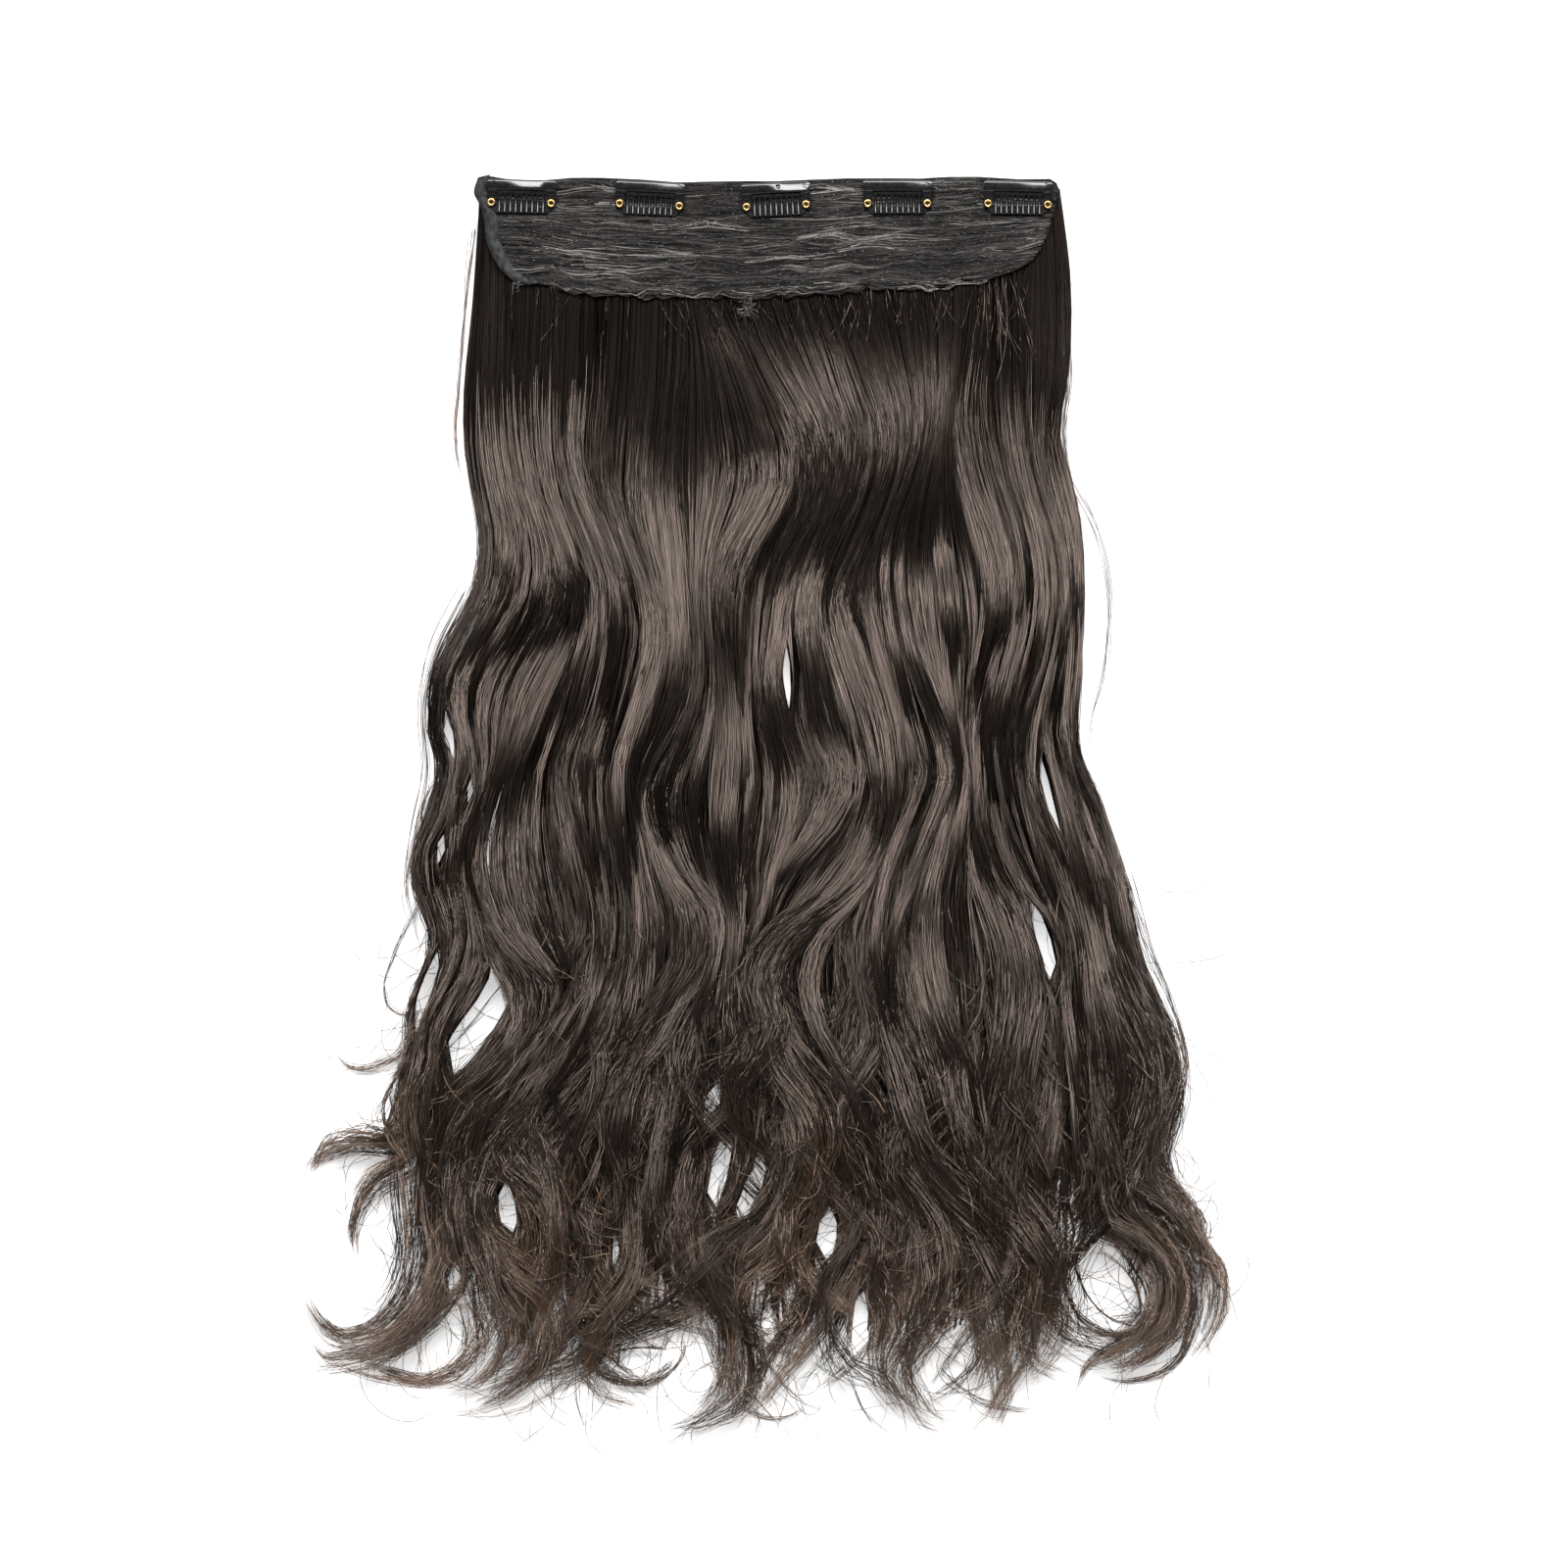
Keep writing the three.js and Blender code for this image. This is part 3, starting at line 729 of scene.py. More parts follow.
# Points on the clips' grids: across an arm or a tooth, across and down the bar, down an arm's round end
# and its straight part, along the teeth's curve, round a tooth's tip or slot, and down its straight part.
ARM_COLUMNS = 7
BAR_COLUMNS = 49
BAR_POINTS = 14
ARM_END_POINTS = 7
ARM_POINTS = 8
CURVE_POINTS = 40
ROUND_POINTS = 5
TOOTH_POINTS = 12
EYELET_SIDES = 24

# The clip's sheet seen from its end, the curve of its teeth and one eyelet's section, in mm.
FRAME_PROFILE = (
    (-2.4, 1.6), (4.2, 1.6), (5.2, 1.75), (5.7, 2.1), (6.4, 2.24), (7.6, 2.3), (8.8, 2.28), (9.5, 2.2),
    (9.8, 1.9), (10.0, 1.3),
)
COMB_CURVE = ((5, 1.6), (1.5, 0.6), (-4.4, 2.3))
EYELET_SECTION = (
    (0.62, 0.3), (0.95, 0.3), (0.95, 1.8), (1.45, 1.78), (1.76, 1.95), (1.8, 2.15), (1.62, 2.42),
    (1.25, 2.52), (0.9, 2.4), (0.68, 2.1), (0.62, 1.6), (0.62, 0.3),
)

# Sewing threads over a clip's two ends, in mm: their places, where they start and end and how much that
# varies, their slant, how they curve, their height from start to end, and how much higher they lie on the
# bar.
CLIP_THREAD_Y = (2.2, 3.1, 6.3, 7.4, 8.6)
CLIP_THREAD_START = (16.2, 0.5)
CLIP_THREAD_END = (11.4, 0.2)
CLIP_THREAD_POINTS = 8
CLIP_THREAD_WIDTH = 0.3 * MM
CLIP_THREAD_SLANT = 0.8
CLIP_THREAD_CURVE = 0.3
CLIP_THREAD_ROWS = ((0, 0.1), (0.2, 2.0), (0.75, 2.35), (1, 2.0))
CLIP_THREAD_BAR = (6, 0.35)


def principled(name):
    """A new material with its Principled shader and a place to add nodes."""
    made = bpy.data.materials.new(name)
    made.use_nodes = True
    return made, made.node_tree, made.node_tree.nodes["Principled BSDF"]


def add_node(tree, kind, settings=None, **inputs):
    """A node of that kind, with its properties set and its inputs set or linked."""
    node = tree.nodes.new(kind)
    for key, value in (settings or {}).items():
        setattr(node, key, value)
    for key, value in inputs.items():
        socket = node.inputs[int(key[1:])] if key[1:].isdigit() else node.inputs[key.replace("_", " ")]
        if isinstance(value, bpy.types.NodeSocket):
            tree.links.new(value, socket)
        else:
            socket.default_value = value
    return node


def set_ramp(node, stops):
    """Gives a colour ramp its (place, colour) stops."""
    ramp = node.color_ramp
    while len(ramp.elements) < len(stops):
        ramp.elements.new(1)
    for element, (place, colour) in zip(ramp.elements, stops):
        element.position = place
        element.color = (*colour, 1)


def hair_material(name, shade, gloss):
    """Dark brown fibre: each colour class has its own shade, and the ends are lighter and warmer."""
    made, tree, shader = principled(name)
    place = add_node(tree, "ShaderNodeUVMap", {"uv_map": "OFBake"})
    parts = add_node(tree, "ShaderNodeSeparateXYZ", i0=place.outputs[0])
    shade_place, along = parts.outputs[0], parts.outputs[1]
    # The ramp along the strand paints shade at the roots and light shining through the ends.
    fibre = add_node(tree, "ShaderNodeValToRGB", Fac=along)
    set_ramp(fibre, FIBRE_RAMP)
    lighter = add_node(tree, "ShaderNodeMath", {"operation": "POWER"}, i0=shade_place, i1=SHADE_POWER)
    darkest, lightest = SHADE_RANGE
    level = add_node(tree, "ShaderNodeMapRange", i0=lighter.outputs[0],
                     i3=darkest * shade, i4=lightest * shade)
    colour = add_node(tree, "ShaderNodeVectorMath", {"operation": "SCALE"},
                      i0=fibre.outputs[0], Scale=level.outputs[0])
    tree.links.new(colour.outputs[0], shader.inputs["Base Color"])
    start, end = LIGHT_ROUGH_PLACES
    before, after = LIGHT_ROUGH
    least = add_node(tree, "ShaderNodeMapRange", i0=along, i1=start, i2=end, i3=before, i4=after)
    most = add_node(tree, "ShaderNodeValToRGB", Fac=along)
    set_ramp(most, [(spot, (value, value, value)) for spot, value in DARK_ROUGH_ROWS])
    rough = add_node(tree, "ShaderNodeMapRange", i0=shade_place, i3=most.outputs[0], i4=least.outputs[0])
    tree.links.new(rough.outputs[0], shader.inputs["Roughness"])
    shader.inputs["IOR"].default_value = FIBRE_IOR
    shader.inputs["Specular IOR Level"].default_value = gloss
    shader.inputs["Specular Tint"].default_value = FIBRE_TINT
    return made


def streaks(tree, scale, detail=3.0):
    """Noise drawn out along the band's rows."""
    place = add_node(tree, "ShaderNodeTexCoord")
    stretched = add_node(tree, "ShaderNodeMapping", i0=place.outputs["Object"], Scale=scale)
    return add_node(tree, "ShaderNodeTexNoise", Vector=stretched.outputs[0], Scale=1, Detail=detail)


def band_material():
    """Charcoal net, streaked along its rows, with a fine uneven weave."""
    made, tree, shader = principled("band_net")
    streak = streaks(tree, (70, 1300, 500))
    colour = add_node(tree, "ShaderNodeValToRGB", Fac=streak.outputs[0])
    set_ramp(colour, (
        (0.38, (0.002, 0.0018, 0.0016)),
        (0.5, (0.012, 0.0105, 0.0094)),
        (0.66, (0.054, 0.0494, 0.046)),
    ))
    tree.links.new(colour.outputs[0], shader.inputs["Base Color"])
    weave = streaks(tree, (900, 2600, 900), 2)
    bump = add_node(tree, "ShaderNodeBump", Strength=0.5, Distance=0.3 * MM, Height=weave.outputs[0])
    tree.links.new(bump.outputs[0], shader.inputs["Normal"])
    shader.inputs["Roughness"].default_value = 0.62
    shader.inputs["Specular IOR Level"].default_value = 0.12
    return made


def hem_material():
    """The smoother, bluer cloth of the folded left edge."""
    made, tree, shader = principled("band_hem")
    streak = streaks(tree, (700, 300, 500))
    colour = add_node(tree, "ShaderNodeValToRGB", Fac=streak.outputs[0])
    set_ramp(colour, ((0.35, (0.012, 0.012, 0.0126)), (0.7, (0.055, 0.0554, 0.057))))
    tree.links.new(colour.outputs[0], shader.inputs["Base Color"])
    shader.inputs["Roughness"].default_value = 0.5
    shader.inputs["Specular IOR Level"].default_value = 0.2
    return made


def thread_material():
    """Fine grey threads, each class with its own shade."""
    made, tree, shader = principled("band_thread")
    place = add_node(tree, "ShaderNodeUVMap", {"uv_map": "OFBake"})
    parts = add_node(tree, "ShaderNodeSeparateXYZ", i0=place.outputs[0])
    colour = add_node(tree, "ShaderNodeValToRGB", Fac=parts.outputs[0])
    set_ramp(colour, (
        (0.0, (0.0012, 0.001, 0.0009)),
        (0.4, (0.021, 0.0182, 0.0162)),
        (0.65, (0.072, 0.066, 0.062)),
        (1.0, (0.42, 0.4, 0.385)),
    ))
    tree.links.new(colour.outputs[0], shader.inputs["Base Color"])
    shader.inputs["Roughness"].default_value = 0.4
    shader.inputs["Specular IOR Level"].default_value = 0.25
    return made


def lacquer_material(name, smooth, dull, coat):
    """Black lacquer on pressed steel, a little uneven in its gloss."""
    made, tree, shader = principled(name)
    worn = streaks(tree, (600, 900, 600), 4)
    rough = add_node(tree, "ShaderNodeMapRange", i0=worn.outputs[0], i1=0.3, i2=0.7, i3=smooth, i4=dull)
    tree.links.new(rough.outputs[0], shader.inputs["Roughness"])
    colour = add_node(tree, "ShaderNodeValToRGB", Fac=worn.outputs[0])
    set_ramp(colour, ((0.3, (0.004, 0.004, 0.0045)), (0.75, (0.012, 0.012, 0.013))))
    tree.links.new(colour.outputs[0], shader.inputs["Base Color"])
    shader.inputs["Coat Weight"].default_value = coat
    shader.inputs["Coat Roughness"].default_value = 0.1
    return made


def brass_material():
    """Bright brass with slightly darker, rougher patches."""
    made, tree, shader = principled("eyelet_brass")
    worn = streaks(tree, (900, 900, 900), 4)
    colour = add_node(tree, "ShaderNodeValToRGB", Fac=worn.outputs[0])
    set_ramp(colour, ((0.3, (0.5, 0.3, 0.09)), (0.7, (0.86, 0.6, 0.26))))
    tree.links.new(colour.outputs[0], shader.inputs["Base Color"])
    rough = add_node(tree, "ShaderNodeMapRange", i0=worn.outputs[0], i1=0.3, i2=0.7, i3=0.34, i4=0.2)
    tree.links.new(rough.outputs[0], shader.inputs["Roughness"])
    shader.inputs["Metallic"].default_value = 1
    return made


def spline(points, step=3.0):
    """Points close together along a smooth curve through the given points."""
    knots = np.asarray(points, float)
    place = np.r_[0, np.cumsum(np.hypot(*np.diff(knots, axis=0).T))]
    slope = np.gradient(knots, place, axis=0)
    fine = np.linspace(0, place[-1], int(place[-1] / step) + 2)
    k = np.clip(np.searchsorted(place, fine, side="right") - 1, 0, len(knots) - 2)
    span = (place[k + 1] - place[k])[:, None]
    s = (fine - place[k])[:, None] / span
    start = (1 + 2 * s) * (1 - s) ** 2 * knots[k] + s * (1 - s) ** 2 * span * slope[k]
    end = s**2 * (3 - 2 * s) * knots[k + 1] + s**2 * (s - 1) * span * slope[k + 1]
    return start + end


def smoothstep(low, high, value):
    """Smooth rise from 0 at low to 1 at high."""
    t = np.clip((value - low) / (high - low), 0, 1)
    return t * t * (3 - 2 * t)


def value_at(rows, place):
    """Value at the given places in a table of (place, value) rows."""
    return np.interp(place, *zip(*rows))


# The guides' x at even steps of y, and their waves' valleys.
FLOW_Y = np.arange(180, 1300, 4.0)
FLOW_X = np.array([np.interp(FLOW_Y, *spline(points).T[::-1]) for valleys, points in GUIDES])
VALLEYS = np.array([valleys for valleys, points in GUIDES], float)


def flow_x(u, y):
    """Photo x of the hair at place u across the guides, at photo y."""
    low = np.clip(np.floor(u).astype(int), 0, len(GUIDES) - 2)
    row = np.clip((y - FLOW_Y[0]) / (FLOW_Y[1] - FLOW_Y[0]), 0, len(FLOW_Y) - 1.001)
    k = row.astype(int)
    part = row - k
    left = FLOW_X[low, k] * (1 - part) + FLOW_X[low, k + 1] * part
    right = FLOW_X[low + 1, k] * (1 - part) + FLOW_X[low + 1, k + 1] * part
    return left + (right - left) * (u - low)


def wander(count, points, waves, longest):
    """Smooth random offsets along each of count rows, about -1 to 1."""
    t = np.linspace(0, 1, points)
    total = np.zeros((count, points))
    for _ in range(waves):
        turns = RANDOM.uniform(0.4, longest, (count, 1))
        phase = RANDOM.uniform(0, 2 * np.pi, (count, 1))
        total += np.sin(2 * np.pi * turns * t + phase)
    return total / math.sqrt(waves)


def open_partings(xy):
    """Moves strands aside at each parting, every strand to the side on which it mostly lies."""
    for start, end, half in PARTINGS:
        start, end = np.array(start, float), np.array(end, float)
        length = np.hypot(*(end - start))
        axis = (end - start) / length
        side = np.array((-axis[1], axis[0]))
        along = (xy - start) @ axis / length
        across = (xy - start) @ side
        reach = PARTING_REACH * half
        near = (along > 0) & (along < 1) & (np.abs(across) < reach)
        count = near.sum(axis=1)
        mean = np.where(near, across, 0).sum(axis=1) / np.maximum(count, 1)
        sign = np.where(mean >= 0, 1.0, -1.0)[:, None]
        width = half * np.sqrt(np.clip(1 - (2 * along - 1) ** 2, 0, 1))
        inside = np.clip(sign * across, 0, None)
        moved = width + inside * (1 - width / reach)
        push = np.where(near, sign * moved - across, 0)
        xy = xy + push[..., None] * side
    return xy


def waves(u, y, late, rise):
    """Heights of the hair's stack and of its waves, which climb from one valley and fall to the next."""
    left = np.clip(np.floor(u).astype(int), 0, len(GUIDES) - 2)
    near = smoothstep(0.3, 0.7, u - left)
    places = [column[left] * (1 - near) + column[left + 1] * near for column in VALLEYS.T]
    places.append(2 * places[-1] - places[-2])
    guide, *columns = zip(*CREST_ROWS)
    first_share, second_share, *crests = [np.interp(u, guide, column) for column in columns]
    shares = (first_share, second_share, 1)
    settled = places[0] + (places[1] - places[0]) * value_at(LATE_STACK_ROWS, u)
    stack = value_at(STACK_ROWS, y - settled) * MM
    total = np.zeros_like(y)
    for k, (start, end) in enumerate(zip(places, places[1:])):
        kind = min(k, 2)
        part = (y - start) / (end - start)
        crest = np.clip(crests[kind] + late, *CREST_LIMITS)
        climb = np.clip(part / crest, 0, None) ** rise
        fall = (1 - part) / (1 - crest)
        shape = 0.5 * (climb + fall - np.sqrt((climb - fall) ** 2 + WAVE_ROUND**2))
        tall = (end - start) / WAVE_SPAN * shares[kind]
        total += np.where((part > 0) & (part < 1), np.maximum(shape, 0) * tall, 0)
    return stack, total * WAVE_HEIGHT * value_at(WAVE_ROWS, y)


def make_wisps(per_layer, points):
    """The wisps of each layer: their edges across the guides, and each one's wave, drift, height and tone."""
    span = len(GUIDES) - 1
    cuts = np.sort(RANDOM.uniform(0, span, (LAYERS, per_layer - 1)), axis=1)
    edges = np.pad(cuts, ((0, 0), (1, 1)), constant_values=((0, 0), (0, span)))
    count = LAYERS * per_layer
    middle = ((edges[:, 1:] + edges[:, :-1]) / 2).reshape(-1)
    at_left = 1.0 - smoothstep(*EDGE_SWELL, middle)
    return {
        "edges": edges,
        "middle": middle,
        "half": ((edges[:, 1:] - edges[:, :-1]) / 2).reshape(-1),
        "shift": RANDOM.normal(0, 1, count),
        "swell": np.maximum(RANDOM.uniform(*WISP_SWELL, count), at_left),
        "late": RANDOM.normal(0, WISP_LATE, count),
        "ripple": wander(count, points, 3, points / 5),
        "reach": RANDOM.uniform(*WISP_REACH, count),
        "drift": wander(count, points, 3, 3.2),
        "level": RANDOM.random(count),
        "tone": RANDOM.random(count),
    }


def loose_tail(guide):
    """Points of a lock that goes on from near the end of a guide in a random wave and curls at its tip."""
    last = int(RANDOM.integers(-4, 0))
    (before_x, before_y), (x, y) = GUIDES[guide][1][last - 1], GUIDES[guide][1][last]
    heading = math.atan2(x - before_x, y - before_y)
    phase = RANDOM.uniform(0, 2 * math.pi)
    swing = RANDOM.uniform(*LOOSE_SWING)
    curl = RANDOM.choice((-1, 1)) * RANDOM.uniform(*LOOSE_CURL)
    steps = int((LOOSE_LAST_Y - y) / (0.8 * LOOSE_STEP) * RANDOM.uniform(*LOOSE_REACH))
    points = [(x, y)]
    for k in range(steps):
        goal = swing * math.sin(phase + k * LOOSE_TURN)
        heading += LOOSE_FOLLOW * (goal - heading) + (curl if k > steps - LOOSE_CURL_STEPS else 0)
        x += LOOSE_STEP * math.sin(heading)
        y = min(y + LOOSE_STEP * math.cos(heading), LOOSE_LAST_Y + LOOSE_OVERRUN)
        points.append((x, y))
    return points


def pick_tail(middle, loose_share):
    """The lock that a wisp's lower end follows: one traced for the guide that it lies on, or a loose one."""
    guide = int(round(middle))
    if LOOSE_GUIDES[0] <= guide <= LOOSE_GUIDES[1] and RANDOM.random() < loose_share:
        return guide, 1, LOOSE_WIDTH, RANDOM.uniform(*LOOSE_LIFT), loose_tail(guide)
    own = [tail for tail in TAILS if tail[0] == guide]
    shares = np.array([tail[1] for tail in own])
    return own[RANDOM.choice(len(own), p=shares / shares.sum())]


def strand_paths(tail, u, wisp, height, root, wisps):
    """Photo x, y and height of each strand of one wisp, as an array of strands by points by three."""
    guide, _, lock_width, lift, ends = tail
    body = [p for p in GUIDES[guide][1] if p[1] < ends[0][1] - BODY_GAP]
    lock = spline(body + list(ends))
    leave = np.argmin(np.hypot(*(lock - ends[0]).T))
    place = np.r_[0, np.cumsum(np.hypot(*np.diff(lock, axis=0).T))]
    tangent = np.gradient(lock, axis=0)
    tangent /= np.hypot(*tangent.T)[:, None]
    side = np.stack((tangent[:, 1], -tangent[:, 0]), axis=1)

    count, points = len(u), wisps["drift"].shape[1]
    first = np.interp(root, lock[:leave, 1], place[:leave])
    last = place[-1] * wisps["reach"][wisp] * (1 - TIP_LOSS * RANDOM.random(count) ** 2)
    t = np.linspace(0, 1, points)
    s = first[:, None] + (last - first)[:, None] * ((1 + CROWDING) * t - CROWDING * t**2)
    on_lock = np.stack([np.interp(s, place, lock[:, k]) for k in (0, 1)], axis=-1)
    on_side = np.stack([np.interp(s, place, side[:, k]) for k in (0, 1)], axis=-1)

    y = on_lock[..., 1]
    middle = wisps["middle"][wisp] - guide
    across = (u - wisps["middle"][wisp]) / wisps["half"][wisp]
    offset = middle[:, None] + (u - guide - middle)[:, None] * value_at(TIGHT_ROWS, y)
    on_guides = np.clip(guide + offset, 0, len(GUIDES) - 1)
    gather = smoothstep(place[leave] - GATHER_LENGTH, place[leave], s)
    free = np.clip((s - place[leave]) / (place[-1] - place[leave]), 0, 1)
    start_width, lost_width = LOCK_WIDTHS
    width = lock_width * (start_width - lost_width * free**2)
    body_x = flow_x(on_guides, y)
    x = body_x * (1 - gather) + (on_lock[..., 0] + offset * width * on_side[..., 0]) * gather
    y = y + offset * width * on_side[..., 1] * gather

    drift = value_at(DRIFT_ROWS, y)
    least, added = OWN_DRIFT
    own_drift = wander(count, points, 3, 6) * (least + added * RANDOM.random((count, 1)) ** 4)
    x = x + (drift + TIP_DRIFT * free) * wisps["drift"][wisp] + drift * own_drift
    y = y + drift * (DOWN_DRIFT * wander(count, points, 2, 5) + wisps["drift"][wisp, ::-1]) * gather
    xy = open_partings(np.stack((x, y), axis=-1))

    y = xy[..., 1]
    jitter = value_at(JITTER_ROWS, guide + offset) * (1 - JITTER_LOST * smoothstep(*JITTER_FADE, y))
    calm = 1 - (1 - value_at(CALM_ROWS, guide + offset)) * (1 - smoothstep(*CALM_FADE, y))
    shift = wisps["shift"][wisp][:, None] * value_at(SHIFT_ROWS, y) * calm
    shift = shift + RANDOM.normal(0, 1, (count, 1)) * jitter
    rise = 1 + RANDOM.uniform(0, LATE_CLIMB, (count, 1)) * np.clip(jitter / LATE_JITTER, 0, 1)
    stack, arch = waves(on_guides, y - shift, wisps["late"][wisp][:, None], rise)
    lowest, by_height = ARCH_SHARES
    arch = arch * wisps["swell"][wisp][:, None] * (lowest + by_height * height[:, None])
    crown = WISP_ROUND * (1 - across[:, None] ** 2) * value_at(ROUND_ROWS, y)
    lifted = lift * MM * gather * np.sin(np.pi * free)
    ripple = value_at(RIPPLE_ROWS, y) * MM * wander(count, points, 2, points / 6)
    sway = value_at(WISP_RIPPLE_ROWS, y) * MM * wisps["ripple"][wisp]
    z = height[:, None] * stack + arch + crown + lifted + ripple + sway
    return np.dstack((xy, np.clip(z, FLOOR_GAP, TALLEST)))


def to_row(paths):
    """Photo pixels and metres of height, as points in the row frame."""
    x = (paths[..., 0] - ORIGIN_PIXEL[0]) * PIXEL
    y = (ORIGIN_PIXEL[1] - paths[..., 1]) * PIXEL
    return np.stack((x, y, paths[..., 2]), axis=-1)


def unit(vectors):
    """The given vectors at length one."""
    return vectors / np.maximum(np.linalg.norm(vectors, axis=-1, keepdims=True), 1e-12)


def ribbon_mesh(name, lines, width, classes, first=0.0, twist=FIBRE_TWIST):
    """One mesh of flat tapering ribbons, shaded as round fibres whose colour starts at first."""
    count, points = lines.shape[:2]
    tangent = unit(np.gradient(lines, axis=1))
    flat_side = unit(np.cross(tangent, (0.0, 0.0, 1.0)))
    up = np.cross(flat_side, tangent)
    roll = twist * wander(count, points, 2, 2.5)[..., None]
    side = np.cos(roll) * flat_side + np.sin(roll) * up
    face = np.cross(side, tangent)
    face *= np.where(face[..., 2:] < 0, -1.0, 1.0)
    t = np.linspace(0, 1, points)
    along = first + (1 - first) * t
    half = 0.5 * width * value_at(TAPER_ROWS, t)[None, :, None]
    ends = np.stack((lines - side * half, lines + side * half), axis=2)
    ends[..., 2] = np.maximum(ends[..., 2], LEAST_HEIGHT)
    lean = np.radians(value_at(SCALE_ROWS, along))[None, :, None]
    face = np.cos(lean) * face - np.sin(lean) * tangent
    bend = math.radians(FIBRE_BEND)
    outward, aside = face * math.cos(bend), side * math.sin(bend)
    normals = np.stack((outward - aside, outward + aside), axis=2)

    row = np.arange(points - 1) * 2
    quad = np.stack((row, row + 1, row + 3, row + 2), axis=1)
    faces = (quad[None] + (np.arange(count) * points * 2)[:, None, None]).reshape(-1, 4)
    mesh = bpy.data.meshes.new(name)
    mesh.vertices.add(count * points * 2)
    mesh.vertices.foreach_set("co", ends.reshape(-1).astype(np.float32))
    mesh.loops.add(faces.size)
    mesh.loops.foreach_set("vertex_index", faces.reshape(-1).astype(np.int32))
    mesh.polygons.add(len(faces))
    mesh.polygons.foreach_set("loop_start", np.arange(0, faces.size, 4, dtype=np.int32))
    strip = (classes[:, None, None] + np.array(CLASS_EDGES)) / COLOUR_CLASSES
    uv = np.stack(np.broadcast_arrays(strip, along[None, :, None]), axis=-1).reshape(-1, 2)
    layer = mesh.uv_layers.new(name="OFBake")
    layer.data.foreach_set("uv", uv[faces.reshape(-1)].reshape(-1).astype(np.float32))
    mesh.update(calc_edges=True)
    mesh.normals_split_custom_set_from_vertices(normals.reshape(-1, 3))
    made = bpy.data.objects.new(name, mesh)
    bpy.context.scene.collection.objects.link(made)
    return made


def add_hair(name, lines, width, classes, material, first=0.0, twist=FIBRE_TWIST):
    """One piece of hair ribbons that goes with the weft."""
    piece = ribbon_mesh(name, lines, width, classes, first, twist)
    piece.data.materials.append(material)
    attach(piece, "weft")
    return piece


def add_broad(name, lines, material):
    """One piece of broad dark strands."""
    add_hair(name, lines, BACKING_WIDTH, np.zeros(len(lines), int), material, 0.0, BACKING_TWIST)


def add_fine(name, lines, material, look):
    """One piece of fine loose hairs in mixed shades."""
    shades, first = look
    classes = RANDOM.integers(*shades, len(lines))
    add_hair(name, lines, FINE_WIDTH, classes, material, first)


def grow(strand_set):
    """A set of strands: lines in the row frame, photo x near the band, colour classes, and which are shaded
    or dark.
    """
    count, per_layer, points, high, low, loose_share, dark_share = strand_set
    wisps = make_wisps(per_layer, points)
    u = RANDOM.uniform(0, len(GUIDES) - 1, count)
    layer = RANDOM.integers(0, LAYERS, count)
    wisp = np.zeros(count, int)
    for k in range(LAYERS):
        inside = np.clip(np.searchsorted(wisps["edges"][k], u) - 1, 0, per_layer - 1)
        wisp = np.where(layer == k, k * per_layer + inside, wisp)
    of_wisp, of_strand = LEVEL_SHARES
    height = (layer + of_wisp * wisps["level"][wisp] + of_strand * RANDOM.random(count)) / LAYERS
    if high is None:
        edge = (u < EDGE_GUIDES[0]) | (u > EDGE_GUIDES[1])
        root = np.where(edge, EDGE_ROOT_Y, INNER_ROOT_Y) + RANDOM.uniform(*ROOT_SPREAD, count)
        dip = np.ones(points)
    else:
        root = RANDOM.uniform(high, low, count)
        dip = smoothstep(*LOWER_DIP, np.linspace(0, 1, points))
    paths, order = [], []
    for k in range(LAYERS * per_layer):
        mine = np.flatnonzero(wisp == k)
        tail = pick_tail(wisps["middle"][k], loose_share)
        paths.append(strand_paths(tail, u[mine], wisp[mine], height[mine], root[mine], wisps))
        order.append(mine)
    paths, order = np.concatenate(paths), np.concatenate(order)
    paths[..., 2] *= dip
    of_wisp, of_strand = TONE_SHARES
    tone = of_wisp * wisps["tone"][wisp[order]] + of_strand * RANDOM.random(count)
    classes = np.clip((tone * COLOUR_CLASSES).astype(int), 0, COLOUR_CLASSES - 1)
    # The lowest layer, under the others, is drawn in painted shade; dark-toned wisps take the same darker
    # fibre.
    dark = (layer[order] == 0) | (wisps["tone"][wisp[order]] < dark_share)
    return to_row(paths), flow_x(u[order], np.full(count, LOCK_Y)), classes, dark


def curls(begin, heading, length, points, bend):
    """Loose fine curls from the given points in the given directions; their length is a range in mm."""
    count = len(begin)
    step = RANDOM.uniform(*np.multiply(length, MM), count) / (points - 1)
    turn = RANDOM.normal(0, bend, (count, 1)) + bend * wander(count, points, 2, 2)
    heading = heading[:, None] + np.cumsum(turn * step[:, None], axis=1)
    x = begin[:, :1] + np.cumsum(np.sin(heading) * step[:, None], axis=1)
    y = begin[:, 1:2] - np.cumsum(np.cos(heading) * step[:, None], axis=1)
    rise = CURL_RISE * wander(count, points, 2, 1.5) * np.linspace(0, 1, points)
    z = begin[:, 2:] + rise + CURL_START
    return np.stack((x, y, np.clip(z, FLOOR_GAP, None)), axis=-1)


def curls_from(lines, count, points, length, first_part, bend):
    """Curls that leave random strands somewhere after first_part of their length."""
    start = RANDOM.integers(0, len(lines), count)
    spot = RANDOM.integers(int(first_part * lines.shape[1]), lines.shape[1] - 1, count)
    begin = lines[start, spot]
    way = lines[start, spot + 1] - begin
    heading = np.arctan2(way[:, 0], -way[:, 1]) + RANDOM.normal(0, CURL_SPREAD, count)
    return curls(begin, heading, length, points, bend)


def inside_box(lines):
    """The lines that stay close to the frame's box."""
    low = np.array(CAD_BOX[0])[:2] - STRAY_REACH
    high = np.array(CAD_BOX[1])[:2] + STRAY_REACH
    kept = ((lines[..., :2] > low) & (lines[..., :2] < high)).all(axis=(1, 2))
    return lines[kept]


